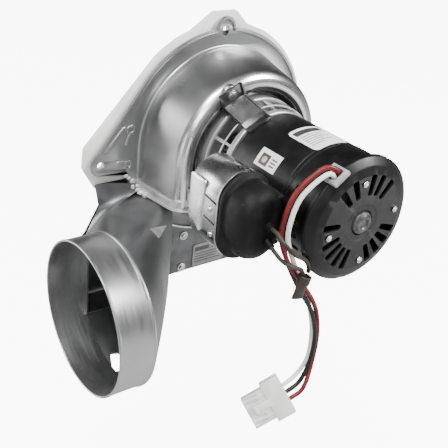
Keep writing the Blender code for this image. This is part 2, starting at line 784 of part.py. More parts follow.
def lead_routes():
    """The three motor leads: a loose bundle that untwists into the connector's three ways."""
    middle = [Vector(point) for point in LEAD_ROUTE]
    across = Vector(CONNECTOR_ACROSS)
    toward = Vector(CONNECTOR_AXIS).cross(across)
    routes = {}
    for name, side, order in (("red_lead", 30.0, 1), ("white_lead", 150.0, -1), ("black_lead", 270.0, 0)):
        route = []
        for i, point in enumerate(middle):
            along = (middle[min(i + 1, len(middle) - 1)] - middle[max(i - 1, 0)]).normalized()
            sideways = along.cross(toward).normalized()
            behind = along.cross(sideways)
            turn = math.radians(side + LEAD_TWIST[i])
            spot = point + (sideways * math.cos(turn) - behind * math.sin(turn)) * LEAD_SPREAD
            if i >= len(middle) - 2:
                spot = point + across * order * CONNECTOR_PITCH
            route.append(spot)
        routes[name] = route
    return routes


def make_leads():
    for name, route in lead_routes().items():
        lead(name, route, LEAD_D, name.replace("lead", "wire"))
    lead("capacitor_lead_1", CAP_LEAD_ROUTES[0], CAP_LEAD_D, "brown_wire")
    lead("capacitor_lead_2", CAP_LEAD_ROUTES[1], CAP_LEAD_D, "brown_wire")
    cone = [(0, 0.0), (4.2, 0.0), (3.4, -9.0), (2.2, -15.0), (0, -15.0)]
    turned("splice_cap", cone, "brown_wire", 16, at(*SPLICE_TOP) @ Matrix.Rotation(0.25, 4, "Y"))
    axis, across = Vector(CONNECTOR_AXIS), Vector(CONNECTOR_ACROSS)
    frame = Matrix((axis, across, axis.cross(across))).transposed().to_4x4()
    frame.translation = (Vector(LEAD_ROUTE[-1]) + axis * GAP) * MM
    back, front, deep = 13.0, 15.0, 10.0
    housing = block("connector_housing", (back, 27.0, deep), frame @ at(back / 2, 0, 0), "nylon")
    nose = frame @ at(back + front / 2 - 0.1, 0, 0)
    join(housing, block("nose", (front + 0.2, 21.5, deep - 1.5), nose, None))
    mouth = frame @ at(back + front - 4.5, 0, 0)
    cut(housing, block("mouth", (11.0, 18.5, 5.6), mouth, None))
    for i in (-1, 0, 1):
        turn = frame @ at(0, i * CONNECTOR_PITCH, 0)
        hole = [turn @ Vector((reach * MM, 0, 0)) / MM for reach in (back + 2.0, back + 12.0)]
        cut(housing, cylinder("way", 1.4, hole[0], hole[1], None, 10))
        pin = [turn @ Vector((reach * MM, 0, 0)) / MM for reach in (back + 2.3, back + 12.5)]
        cylinder(f"connector_pin_{i + 2}", 1.1, pin[0], pin[1], "zinc", 10)


def main():
    make_housing()
    make_back()
    make_elbow()
    make_rotor()
    make_motor()
    make_legs()
    make_capacitor()
    make_trim()
    make_leads()


main()
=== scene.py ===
# The looks of the combustion fan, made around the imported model. As in the model, most pieces are
# drawn in a front view: local x is +X, local y is +Z and local z, "out", runs from the furnace
# face towards the motor, along -Y. Lengths are in millimetres until MM turns them into metres.

import math
import random

import bmesh
import bpy
from mathutils import Matrix, Vector


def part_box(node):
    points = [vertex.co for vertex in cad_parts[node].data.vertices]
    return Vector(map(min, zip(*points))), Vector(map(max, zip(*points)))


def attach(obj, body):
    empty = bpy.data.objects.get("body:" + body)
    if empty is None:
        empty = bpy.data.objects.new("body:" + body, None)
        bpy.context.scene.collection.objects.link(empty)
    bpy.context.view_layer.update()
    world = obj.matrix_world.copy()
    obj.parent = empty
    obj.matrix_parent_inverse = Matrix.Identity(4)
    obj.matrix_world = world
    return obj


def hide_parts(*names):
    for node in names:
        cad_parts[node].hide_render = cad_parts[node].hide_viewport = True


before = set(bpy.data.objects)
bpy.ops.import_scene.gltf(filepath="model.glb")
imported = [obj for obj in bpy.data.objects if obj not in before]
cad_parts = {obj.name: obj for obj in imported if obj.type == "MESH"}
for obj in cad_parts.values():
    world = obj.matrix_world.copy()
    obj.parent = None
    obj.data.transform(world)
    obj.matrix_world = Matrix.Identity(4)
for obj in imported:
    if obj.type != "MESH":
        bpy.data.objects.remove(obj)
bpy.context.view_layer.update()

MM = 0.001
FRONT = Matrix.Rotation(math.radians(90), 4, "X")
LEFT_SIDE = Matrix.Rotation(math.radians(180), 4, "Z")
SMOOTH = math.radians(32)


# ---------------------------------------------------------------- measures taken from the frame


def outs(node):
    """How far a node's two ends are from the furnace face."""
    low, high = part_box(node)
    return -high.y / MM, -low.y / MM


def radius_of(node):
    low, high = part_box(node)
    return (high.x - low.x) / 2 / MM


def middle(node):
    low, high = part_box(node)
    return (low + high) / 2 / MM


FLANGE = (4.6, 5.8)
SHEET = 1.1
FLANGE_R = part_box("blower_housing")[1].x / MM
STEP_R = FLANGE_R - 12.8
STEP_OUT = 11.5
BULGE_R = 50.5
BULGE_OUT = 40.5
BULGE_TUBE = 8.0
RECESS_R = 43.0
RECESS_OUT = 31.0
SCROLL_END = -30.0
EAR = (-93.0, -9.3)
TOP_EAR_Z = 74.6
LOW_TAB = (325.0, 80.0)
COLLAR_R = (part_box("outlet_collar")[1].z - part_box("outlet_collar")[0].z) / 2 / MM
COLLAR_X = (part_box("outlet_collar")[1].x / MM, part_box("outlet_collar")[0].x / MM)
COLLAR_AT = (-middle("outlet_collar").y, middle("outlet_collar").z)
ELBOW_X = -37.0
ELBOW_BOX = ((6.2, 9.5), (-114.0, -33.0))  # its flat start: out, then Z
BACK_TAB = 36.5  # half the width of the back plate's lower tab
BACK_EYE_R = 27.0
MOTOR_R = radius_of("motor_shell")
SHELL = outs("motor_shell")
BELL = outs("rear_bell")
CAGE = outs("front_bell")
CAN = outs("capacitor_can")
CAN_AT = (middle("capacitor_can").x, middle("capacitor_can").z)
CAN_SIZE = (31.0, 52.0)
STRAP = (84.0, 113.0)
BOOT = outs("capacitor_boot")
LEG_ANGLES = (117.0, 237.0, 357.0)

# ---------------------------------------------------------------- camera

CAMERA_AT = (-0.31185, -0.4194, 0.20405)
CAMERA_RIGHT = (0.8104, -0.5783, 0.0937)
CAMERA_UP = (0.2086, 0.4342, 0.8763)
CAMERA_BACK = (-0.5474, -0.6907, 0.4726)


def make_camera():
    data = bpy.data.cameras.new("camera")
    data.lens = 61.2
    data.sensor_width = 36.0
    made = bpy.data.objects.new("camera", data)
    bpy.context.scene.collection.objects.link(made)
    turn = Matrix((CAMERA_RIGHT, CAMERA_UP, CAMERA_BACK)).transposed().to_4x4()
    made.matrix_world = Matrix.Translation(CAMERA_AT) @ turn
    bpy.context.scene.camera = made


# ---------------------------------------------------------------- materials


def node(tree, kind, **inputs):
    """A shader node. An input is a plain value, or another node's output to link."""
    made = tree.nodes.new("ShaderNode" + kind)
    for name, value in inputs.items():
        socket = made.inputs[name.replace("_", " ")]
        if isinstance(value, bpy.types.NodeSocket):
            tree.links.new(value, socket)
        else:
            socket.default_value = value
    return made


def noise(tree, scale, stretch=(1, 1, 1), detail=4.0, distortion=0.0):
    """A noise pattern over the object's own place, as a value from 0 to 1."""
    place = node(tree, "Mapping", Vector=node(tree, "TexCoord").outputs["Object"], Scale=stretch)
    vector = place.outputs["Vector"]
    made = node(tree, "TexNoise", Vector=vector, Scale=scale, Detail=detail, Distortion=distortion)
    return made.outputs["Fac"]


def ranged(tree, value, low, high, start=0.35, end=0.65):
    """A value that runs from low to high while another runs from start to end."""
    made = node(tree, "MapRange", Value=value, From_Min=start, From_Max=end, To_Min=low, To_Max=high)
    return made.outputs["Result"]


def blended(tree, value, first, second):
    """A colour between two others. Each is a colour, a grey's one number or a node's output."""
    made = tree.nodes.new("ShaderNodeMix")
    made.data_type = "RGBA"
    tree.links.new(value, made.inputs["Factor"])
    for socket, colour in ((made.inputs["A"], first), (made.inputs["B"], second)):
        if isinstance(colour, float):
            socket.default_value = (colour, colour, colour, 1)
        elif isinstance(colour, tuple):
            socket.default_value = (*colour, 1)
        else:
            tree.links.new(colour, socket)
    return made.outputs["Result"]


def bumped(tree, value, distance, below=None):
    """Relief of a depth in mm, on top of another relief."""
    made = node(tree, "Bump", Height=value, Distance=distance * MM, Strength=1.0)
    if below:
        tree.links.new(below, made.inputs["Normal"])
    return made.outputs["Normal"]


def look(name, dark, light, rough, metal=0.0, patch=60, grain=900, stretch=(1, 1, 1),
         relief=0.02, dents=0.0, wear=None, dust=None, **sockets):
    """A material: patchy colour and gloss, a fine grain, shallow dents, worn edges and dust."""
    made = bpy.data.materials.new(name)
    made.use_nodes = True
    tree = made.node_tree
    shader = tree.nodes["Principled BSDF"]
    colour = blended(tree, ranged(tree, noise(tree, patch), 0, 1), dark, light)
    fine = noise(tree, grain, stretch, detail=3.0)
    gloss = ranged(tree, noise(tree, patch * 2.3, stretch, detail=6.0), *rough)
    if dust:
        cloud = noise(tree, patch * 0.6, detail=8.0, distortion=0.6)
        amount = ranged(tree, cloud, 0, dust[1], 0.45, 0.75)
        colour = blended(tree, amount, colour, dust[0])
    if wear:
        edge = ranged(tree, node(tree, "NewGeometry").outputs["Pointiness"], 0, wear[1], 0.52, 0.60)
        colour = blended(tree, edge, colour, wear[0])
    tree.links.new(colour, shader.inputs["Base Color"])
    tree.links.new(gloss, shader.inputs["Roughness"])
    normal = bumped(tree, fine, relief)
    if dents:
        normal = bumped(tree, noise(tree, 45.0, detail=1.0), dents, normal)
    tree.links.new(normal, shader.inputs["Normal"])
    shader.inputs["Metallic"].default_value = metal
    for socket, value in sockets.items():
        shader.inputs[socket.replace("_", " ")].default_value = value
    return made


def make_looks():
    """Every material, by its short name. The bright crest look is a painted highlight and the dark shade look
    is painted shade; both stand in for reflections.
    """
    return {
        "housing": look(
            "drawn_steel", (0.38, 0.383, 0.386), (0.47, 0.473, 0.476), (0.29, 0.37), 1.0,
            patch=16, grain=700, relief=0.008, dents=0.004, dust=(0.32, 0.2),
        ),
        "elbow": look(
            "elbow_sheet", (0.16, 0.162, 0.165), (0.235, 0.238, 0.241), (0.36, 0.48), 0.9,
            patch=18, grain=420, stretch=(2.5, 2.5, 0.2), relief=0.016, dents=0.012,
            dust=(0.36, 0.3),
        ),
        "collar": look(
            "brushed_collar", (0.37, 0.373, 0.376), (0.47, 0.473, 0.476), (0.29, 0.38), 0.97,
            patch=24, grain=260, stretch=(9, 0.7, 0.7), relief=0.008, dents=0.005,
            dust=(0.24, 0.3),
        ),
        "wheel": look(
            "wheel_sheet", (0.45, 0.46, 0.47), (0.60, 0.61, 0.62), (0.30, 0.45), 1.0,
            patch=50, grain=800, relief=0.012,
        ),
        "zinc": look(
            "bright_zinc", (0.40, 0.405, 0.41), (0.58, 0.58, 0.575), (0.24, 0.34), 1.0,
            relief=0.004, dents=0.003, dust=(0.34, 0.3),
        ),
        "leg": look(
            "leg_zinc", (0.19, 0.192, 0.194), (0.28, 0.28, 0.278), (0.26, 0.34), 1.0,
            relief=0.004, dents=0.0010, dust=(0.22, 0.3),
        ),
        "cage": look(
            "cage_zinc", (0.46, 0.465, 0.46), (0.60, 0.60, 0.59), (0.28, 0.40), 0.75,
            relief=0.004, dents=0.0008, dust=((0.45, 0.45, 0.44), 0.3),
        ),
        "strap": look(
            "strap_sheet", (0.44, 0.445, 0.45), 0.56, (0.26, 0.30), 1.0,
            patch=50, grain=800, relief=0.004, dust=(0.4, 0.15),
        ),
        # A painted reflection: the strap's side cheek as a much lighter copy of the strap's zinc.
        "cheek": look(
            "cheek_painted_reflection", 0.80, 0.90, (0.22, 0.34), 0.85,
            patch=50, grain=800, relief=0.003, dust=(0.74, 0.15),
        ),
        # A painted highlight: a bright band along the crest's shoulder.
        "crest_highlight": look(
            "painted_crest_highlight", (0.78, 0.783, 0.786), 0.88, (0.24, 0.30), 1.0,
            patch=16, grain=700, relief=0.004,
        ),
        # Painted shade: near-black metal for the recess band and the strap's crease bars, where the steel
        # looks dark.
        "shade": look(
            "painted_shade_metal", (0.028, 0.029, 0.030), (0.052, 0.053, 0.054), (0.32, 0.44), 1.0,
            patch=40, grain=700, relief=0.006, dust=(0.035, 0.3),
        ),
        "lip": look(
            "pale_edge", (0.52, 0.525, 0.52), (0.70, 0.70, 0.69), (0.30, 0.45), 0.8,
            patch=160, grain=500, relief=0.03, dents=0.02, dust=((0.46, 0.46, 0.44), 0.5),
        ),
        "plain": look(
            "plain_sheet", (0.09, 0.092, 0.094), (0.14, 0.142, 0.144), (0.34, 0.46), 1.0,
            relief=0.010, dents=0.02,
        ),
        "steel": look(
            "ground_steel", (0.50, 0.50, 0.52), (0.62, 0.62, 0.63), (0.18, 0.30), 1.0,
            patch=90, grain=1500, stretch=(1, 0.1, 1), relief=0.006,
        ),
        "paint": look(
            "black_enamel", 0.003, 0.006, (0.34, 0.46), 0.0,
            grain=1500, relief=0.016, wear=(0.05, 0.5),
            dust=(0.014, 0.3), Specular_IOR_Level=0.25,
        ),
        "rubber": look(
            "boot_rubber", 0.003, 0.006, (0.46, 0.62), 0.0,
            patch=80, grain=1800, relief=0.016, wear=(0.03, 0.4),
            dust=(0.013, 0.35), Specular_IOR_Level=0.14,
        ),
        "gasket": look(
            "pressed_fibre", (0.70, 0.70, 0.66), (0.84, 0.84, 0.80), (0.85, 0.98), 0.0,
            grain=1400, stretch=(1, 1, 3), relief=0.12, dust=((0.58, 0.58, 0.54), 0.5),
        ),
        "foil": look(
            "label_foil", (0.17, 0.175, 0.175), 0.24, (0.30, 0.45), 0.6,
            patch=90, grain=1600, relief=0.008, dents=0.03,
        ),
        "label": look(
            "label_film", (0.78, 0.78, 0.77), (0.86, 0.86, 0.85), (0.35, 0.50), 0.0,
            patch=90, grain=1600, relief=0.006, dents=0.02, dust=((0.66, 0.65, 0.62), 0.3),
        ),
        "ink": look("label_ink", 0.02, 0.05, (0.35, 0.55), 0.0, patch=400, grain=1500, relief=0.004),
        "tan_ink": look(
            "label_tan_ink", (0.40, 0.34, 0.26), (0.52, 0.46, 0.37), (0.40, 0.55), 0.0,
            patch=400, grain=1500, relief=0.004,
        ),
        "brown_ink": look(
            "label_brown_ink", (0.030, 0.022, 0.018), (0.060, 0.045, 0.035), (0.40, 0.55), 0.0,
            patch=400, grain=1500, relief=0.004,
        ),
        "core": look(
            "core_laminations", (0.10, 0.10, 0.11), (0.22, 0.22, 0.23), (0.35, 0.55), 0.9,
            grain=1, stretch=(1, 2200, 1), relief=0.20,
        ),
        "copper": look(
            "winding_wire", (0.06, 0.022, 0.010), (0.11, 0.042, 0.018), (0.35, 0.50), 0.85,
            patch=120, grain=160, stretch=(1, 9, 1), relief=0.5,
        ),
        "bronze": look(
            "bearing_bronze", (0.40, 0.26, 0.12), (0.54, 0.38, 0.20), (0.30, 0.45), 1.0,
            patch=120, grain=2500, relief=0.02,
        ),
        "nylon": look(
            "natural_nylon", (0.80, 0.79, 0.74), (0.90, 0.89, 0.85), (0.28, 0.42), 0.0,
            patch=90, relief=0.010, Subsurface_Weight=0.6, Subsurface_Scale=0.003,
            Transmission_Weight=0.22, IOR=1.50,
        ),
        "grommet": look(
            "grommet_plastic", (0.24, 0.245, 0.245), (0.34, 0.345, 0.345), (0.40, 0.55), 0.0,
            patch=200, grain=1800, relief=0.02,
        ),
        "hub": look(
            "hub_cap_plate", (0.05, 0.05, 0.052), (0.11, 0.11, 0.112), (0.35, 0.55), 0.6,
            patch=260, grain=1500, relief=0.02, dust=(0.03, 0.6),
        ),
        "red_wire": look(
            "red_insulation", (0.095, 0.005, 0.006), (0.15, 0.011, 0.012), (0.42, 0.56), 0.0,
            patch=120, relief=0.02, dust=((0.20, 0.05, 0.048), 0.3), Specular_IOR_Level=0.3,
        ),
        "white_wire": look(
            "white_insulation", (0.78, 0.76, 0.70), (0.88, 0.86, 0.82), (0.35, 0.50), 0.0,
            patch=120, relief=0.02, dust=((0.55, 0.54, 0.52), 0.4), Coat_Weight=0.15,
        ),
        "black_wire": look(
            "black_insulation", 0.004, 0.010, (0.36, 0.50), 0.0,
            patch=120, relief=0.02, Specular_IOR_Level=0.3,
        ),
        "brown_wire": look(
            "brown_insulation", (0.018, 0.014, 0.010), (0.04, 0.032, 0.024), (0.42, 0.58), 0.0,
            patch=120, relief=0.02, dust=((0.07, 0.062, 0.052), 0.4), Specular_IOR_Level=0.22,
        ),
        "sealant": look(
            "grey_sealant", (0.50, 0.50, 0.48), (0.78, 0.78, 0.76), (0.25, 0.50), 0.3,
            patch=300, grain=700, relief=0.10,
        ),
    }


LOOKS = make_looks()

# ---------------------------------------------------------------- mesh tools


def linked(name, data):
    made = bpy.data.objects.new(name, data)
    bpy.context.scene.collection.objects.link(made)
    return made


def settled(made):
    """The object as a plain mesh in the row frame, with its modifiers and its place applied."""
    bpy.context.view_layer.update()
    shown = made.evaluated_get(bpy.context.evaluated_depsgraph_get())
    mesh = bpy.data.meshes.new_from_object(shown)
    mesh.transform(made.matrix_world)
    work = bmesh.new()
    work.from_mesh(mesh)
    bmesh.ops.remove_doubles(work, verts=work.verts, dist=2e-6)
    bmesh.ops.dissolve_degenerate(work, edges=work.edges, dist=1e-6)
    bmesh.ops.recalc_face_normals(work, faces=work.faces)
    work.to_mesh(mesh)
    work.free()
    name = made.name
    bpy.data.objects.remove(made)
    return linked(name, mesh)


def from_work(name, work, matrix=Matrix()):
    bmesh.ops.recalc_face_normals(work, faces=work.faces)
    mesh = bpy.data.meshes.new(name)
    work.to_mesh(mesh)
    work.free()
    mesh.transform(matrix)
    return linked(name, mesh)


def rounded(corners, radius, steps=4, closed=True):
    """An outline with round corners. A corner's third value is its own radius."""
    count = len(corners)
    points = []
    for i, corner in enumerate(corners):
        here = Vector(corner[:2])
        own = corner[2] if len(corner) > 2 else radius
        if own == 0 or (not closed and i in (0, count - 1)):
            points.append(tuple(here))
            continue
        before = Vector(corners[i - 1][:2]) - here
        after = Vector(corners[(i + 1) % count][:2]) - here
        half = before.angle(after) / 2
        if half > math.radians(88):
            points.append(tuple(here))
            continue
        reach = min(own / math.tan(half), before.length * 0.48, after.length * 0.48)
        bow = reach * math.tan(half)
        towards = (before.normalized() + after.normalized()).normalized()
        centre = here + towards * (bow / math.sin(half))
        start = here + before.normalized() * reach - centre
        turn = math.pi - 2 * half
        if start.x * towards.y - start.y * towards.x < 0:
            turn = -turn
        for k in range(steps + 1):
            angle = -turn * k / steps
            c, s = math.cos(angle), math.sin(angle)
            points.append((centre.x + start.x * c - start.y * s, centre.y + start.x * s + start.y * c))
    return points


def turned(name, profile, steps=96, matrix=FRONT):
    """A closed profile of (radius, out) turned about the local z axis."""
    work = bmesh.new()
    rows = []
    for i in range(steps):
        angle = 2 * math.pi * i / steps
        c, s = math.cos(angle), math.sin(angle)
        rows.append([work.verts.new((r * c * MM, r * s * MM, out * MM)) for r, out in profile])
    count = len(profile)
    for i, row in enumerate(rows):
        following = rows[(i + 1) % steps]
        for j in range(count):
            k = (j + 1) % count
            if profile[j][0] > 0 or profile[k][0] > 0:
                work.faces.new((row[j], row[k], following[k], following[j]))
    bmesh.ops.remove_doubles(work, verts=work.verts, dist=1e-6)
    return from_work(name, work, matrix)


def plate(name, outlines, near, far, matrix=FRONT, edge=0.2):
    """Flat outlines (the first is the edge, the rest are holes) with a thickness and round edges."""
    curve = bpy.data.curves.new(name, "CURVE")
    curve.dimensions = "2D"
    curve.fill_mode = "BOTH"
    curve.extrude = ((far - near) / 2 - edge) * MM
    curve.bevel_depth = edge * MM
    curve.bevel_resolution = 1
    curve.offset = -edge * MM
    for outline in outlines:
        spline = curve.splines.new("POLY")
        spline.points.add(len(outline) - 1)
        spline.use_cyclic_u = True
        for point, (x, y) in zip(spline.points, outline):
            point.co = (x * MM, y * MM, 0, 1)
    made = linked(name, curve)
    made.matrix_world = matrix @ Matrix.Translation((0, 0, (near + far) / 2 * MM))
    return settled(made)


def block(name, size, matrix, edge=0.0, segments=2):
    work = bmesh.new()
    bmesh.ops.create_cube(work, size=1)
    bmesh.ops.scale(work, vec=Vector(size) * MM, verts=work.verts)
    if edge:
        bmesh.ops.bevel(
            work, geom=work.edges, offset=edge * MM, segments=segments, affect="EDGES", profile=0.5
        )
    return from_work(name, work, matrix)


def loft(name, rings, capped=True, matrix=Matrix()):
    """A skin through closed rings of points in metres."""
    work = bmesh.new()
    rows = [[work.verts.new(point) for point in ring] for ring in rings]
    count = len(rows[0])
    for low, high in zip(rows, rows[1:]):
        for j in range(count):
            k = (j + 1) % count
            work.faces.new((low[j], low[k], high[k], high[j]))
    if capped:
        work.faces.new(rows[0])
        work.faces.new(rows[-1])
    return from_work(name, work, matrix)


def boolean(made, other, operation):
    modifier = made.modifiers.new("boolean", "BOOLEAN")
    modifier.operation = operation
    modifier.object = other
    result = settled(made)
    bpy.data.objects.remove(other)
    return result


def cut(made, *others):
    for other in others:
        made = boolean(made, other, "DIFFERENCE")
    return made


def join(made, *others):
    for other in others:
        made = boolean(made, other, "UNION")
    return made


def gathered(name, pieces):
    """Separate bodies in one object."""
    work = bmesh.new()
    for piece in pieces:
        work.from_mesh(piece.data)
        bpy.data.objects.remove(piece)
    return from_work(name, work)


def softened(made, width, segments=2, angle=35):
    """The object with its sharp edges rounded."""
    modifier = made.modifiers.new("round", "BEVEL")
    modifier.width = width * MM
    modifier.segments = segments
    modifier.limit_method = "ANGLE"
    modifier.angle_limit = math.radians(angle)
    return settled(made)


def circle(radius, x=0.0, y=0.0, count=64, start=0.0, sweep=360.0):
    """Points of a circle, or of an arc with both its ends."""
    last = count if sweep == 360.0 else count - 1
    turns = [math.radians(start + sweep * i / last) for i in range(count)]
    return [(x + radius * math.cos(turn), y + radius * math.sin(turn)) for turn in turns]


def stadium(width, height, x=0.0, y=0.0, count=24):
    radius = min(width, height) / 2
    if width > height:
        reach = width / 2 - radius
        right = circle(radius, x + reach, y, count, -90, 180)
        return right + circle(radius, x - reach, y, count, 90, 180)
    reach = height / 2 - radius
    return circle(radius, x, y + reach, count, 0, 180) + circle(radius, x, y - reach, count, 180, 180)


def rectangle(left, right, bottom, top, corner=0.0):
    corners = [(left, bottom), (right, bottom), (right, top), (left, top)]
    return rounded(corners, corner) if corner else corners


def at(x, y, z):
    return Matrix.Translation(Vector((x, y, z)) * MM)


def spin(angle):
    """A turn about the shaft axis, seen from the front, anticlockwise from +X."""
    return Matrix.Rotation(math.radians(-angle), 4, "Y")


def strip(points, thick):
    """The closed outline of a bent strip with a face along the points."""
    line = [Vector(point) for point in points]
    offset = []
    for i, point in enumerate(line):
        before = (point - line[i - 1]).normalized() if i else None
        after = (line[i + 1] - point).normalized() if i < len(line) - 1 else None
        before, after = before or after, after or before
        normal = Vector((-before.y - after.y, before.x + after.x)).normalized()
        reach = thick / max(0.3, normal.dot(Vector((-before.y, before.x))))
        offset.append(point + normal * reach)
    return [tuple(point) for point in line] + [tuple(point) for point in reversed(offset)]


def shown(made, look_name, slot, replaces=(), body="root", angle=SMOOTH):
    """Gives a finished piece its material and its body, and hides the CAD nodes it stands for."""
    mesh = made.data
    mesh.materials.clear()
    mesh.materials.append(LOOKS[look_name])
    if made.type == "MESH":
        mesh.shade_smooth()
        mesh.set_sharp_from_angle(angle=angle)
    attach(made, body)
    if replaces:
        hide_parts(*replaces)
    return made


LEAD_D = 3.0
CAP_LEAD_D = 2.6
LEAD_SPREAD = 2.15
LEAD_ROUTE = [
    (-0.0236, -0.1510, 0.0324),
    (-0.0256, -0.1508, 0.0352),
    (-0.0300, -0.1498, 0.0366),
    (-0.0375, -0.1480, 0.0318),
    (-0.0455, -0.1463, 0.0230),
    (-0.0495, -0.1455, 0.0110),
    (-0.0500, -0.1450, -0.0030),
    (-0.0435, -0.1450, -0.0200),
    (-0.0300, -0.1450, -0.0415),
    (-0.0175, -0.1450, -0.0620),
    (-0.0115, -0.1455, -0.0825),
    (-0.0130, -0.1470, -0.1020),
    (-0.0210, -0.1490, -0.1160),
    (-0.0305, -0.1480, -0.1220),
]
LEAD_TWIST = [0, 0, 0, 0, 0, 0, 0, 30, 90, 150, 180, 180, 180, 180]
CONNECTOR_AXIS = Vector((-0.808, 0.290, -0.512))
CONNECTOR_ACROSS = Vector((0.198, -0.681, -0.705))
CONNECTOR_PITCH = 4.9
CAP_LEAD_ROUTES = [
    [
        (-0.0550, -0.1364, 0.0010),
        (-0.0565, -0.1450, 0.0015),
        (-0.0560, -0.1515, -0.0020),
        (-0.0490, -0.1540, -0.0095),
        (-0.0390, -0.1535, -0.0165),
        (-0.0350, -0.1532, -0.0225),
        (-0.0345, -0.1529, -0.0260),
    ],
    [
        (-0.0540, -0.1364, -0.0100),
        (-0.0545, -0.1430, -0.0120),
        (-0.0535, -0.1495, -0.0150),
        (-0.0480, -0.1525, -0.0190),
        (-0.0414, -0.1530, -0.0220),
        (-0.0386, -0.1529, -0.0258),
    ],
]
SPLICE_TOP = (-36.3, -152.9, -27.8)


def smooth_line(points, spacing):
    """Evenly spaced points of a Catmull-Rom curve through the given points."""
    knots = [Vector(point) for point in points]
    knots = [knots[0] * 2 - knots[1], *knots, knots[-1] * 2 - knots[-2]]
    dense = []
    for a, b, c, d in zip(knots, knots[1:], knots[2:], knots[3:]):
        for i in range(24):
            t = i / 24
            bend = (2 * a - 5 * b + 4 * c - d) * t**2
            twist = (3 * b - a - 3 * c + d) * t**3
            dense.append((2 * b + (c - a) * t + bend + twist) / 2)
    dense.append(knots[-2])
    length = sum((q - p).length for p, q in zip(dense, dense[1:]))
    count = max(2, round(length / spacing))
    chosen, walked, target = [dense[0]], 0.0, length / count
    for p, q in zip(dense, dense[1:]):
        step = (q - p).length
        while walked + step >= target * len(chosen) and len(chosen) < count:
            chosen.append(p.lerp(q, (target * len(chosen) - walked) / step))
        walked += step
    return [*chosen, dense[-1]]


def wire(name, points, diameter):
    """A round wire as a curve of one open spline, and its length in metres."""
    curve = bpy.data.curves.new(name, "CURVE")
    curve.dimensions = "3D"
    curve.bevel_depth = diameter / 2 * MM
    curve.bevel_resolution = 4
    curve.use_fill_caps = True
    line = smooth_line(points, diameter * 0.7 * MM)
    spline = curve.splines.new("POLY")
    spline.points.add(len(line) - 1)
    spline.use_smooth = True
    for point, place in zip(spline.points, line):
        point.co = (*place, 1)
    return linked(name, curve), sum((q - p).length for p, q in zip(line, line[1:]))


def lead_routes():
    """The three motor leads: a loose bundle that untwists into the connector's three ways."""
    middle_line = [Vector(point) for point in LEAD_ROUTE]
    toward = CONNECTOR_AXIS.cross(CONNECTOR_ACROSS)
    last = len(middle_line) - 1
    routes = {}
    for name, side, order in (("red", 30.0, 1), ("white", 150.0, -1), ("black", 270.0, 0)):
        route = []
        for i, point in enumerate(middle_line):
            along = (middle_line[min(i + 1, last)] - middle_line[max(i - 1, 0)]).normalized()
            sideways = along.cross(toward).normalized()
            behind = along.cross(sideways)
            turn = math.radians(side + LEAD_TWIST[i])
            swing = sideways * math.cos(turn) - behind * math.sin(turn)
            spot = point + swing * LEAD_SPREAD * MM
            if i >= last - 1:
                spot = point + CONNECTOR_ACROSS * order * CONNECTOR_PITCH * MM
            route.append(spot)
        routes[name] = route
    return routes


def make_connector():
    """The three-way housing: back block, nose with latch and ribs, and three cavities."""
    axis, across = CONNECTOR_AXIS, CONNECTOR_ACROSS
    place = Matrix((axis, across, axis.cross(across))).transposed().to_4x4()
    place.translation = Vector(LEAD_ROUTE[-1]) + axis * 0.3 * MM
    back, nose, wide, narrow, deep = 13.0, 15.0, 27.0, 21.5, 10.0
    body = block("connector_detail", (back, wide, deep), place @ at(back / 2, 0, 0), 0.6)
    thin = deep - 1.5
    body = join(body, block("nose", (nose + 2, narrow, thin), place @ at(back + nose / 2 - 1, 0, 0), 0.5))
    for side in (-1, 1):
        groove = block("groove", (back + 2, 1.6, 3.0), place @ at(back / 2, side * wide / 2, 0), 0.2)
        body = cut(body, groove)
        spot = place @ at(back + nose / 2 - 1.5, side * 7.2, 0)
        body = join(body, block("rib", (nose - 3, 1.2, deep - 0.6), spot, 0.3))
    for order in range(6):
        spot = place @ at(back + nose - 6.0, (order - 2.5) * 3.4, thin / 2)
        body = cut(body, block("flute", (9.0, 1.5, 1.4), spot, 0.3))
    latch = block("latch", (nose - 2, 5.0, 1.8), place @ at(back + nose / 2 - 3, 0, thin / 2), 0.5)
    hook = block("hook", (2.6, 5.0, 2.4), place @ at(back + nose - 5.5, 0, thin / 2 + 0.6), 0.5)
    body = join(body, latch, hook)
    body = cut(body, block("mouth", (11.0, 18.5, 5.6), place @ at(back + nose - 4.5, 0, 0), 0.3))
    pins = []
    for order in (-1, 0, 1):
        turn = place @ at(0, order * CONNECTOR_PITCH, 0) @ Matrix.Rotation(math.radians(90), 4, "Y")
        bore = [(0, -1.0), (1.75, -1.0), (1.75, 4.0), (0, 4.0)]
        body = cut(body, turned("bore", bore, 24, turn))
        body = cut(body, turned("way", [(0, 3.0), (1.4, 3.0), (1.4, back + 12), (0, back + 12)], 24, turn))
        tip = back + 12.5
        profile = rounded([(0, tip, 0), (1.1, tip, 0.6), (1.1, back + 2.3), (0, back + 2.3, 0)], 0.1)
        pin = turned(f"connector_contact_{order + 2}", profile, 24, turn)
        pins.append(shown(pin, "zinc", "zinc_plate", [f"connector_pin_{order + 2}"]))
    return shown(body, "nylon", "nylon", ["connector_housing"]), pins


def make_leads():
    connector, pins = make_connector()
    for name, route in lead_routes().items():
        lead, length = wire(f"{name}_wire", route, LEAD_D)
        shown(lead, f"{name}_wire", f"{name}_insulation", [f"{name}_lead"])
    cap = make_splice()
    for i, route in enumerate(CAP_LEAD_ROUTES):
        lead, length = wire(f"brown_wire_{i + 1}", route, CAP_LEAD_D)
        shown(lead, "brown_wire", "brown_insulation", [f"capacitor_lead_{i + 1}"])


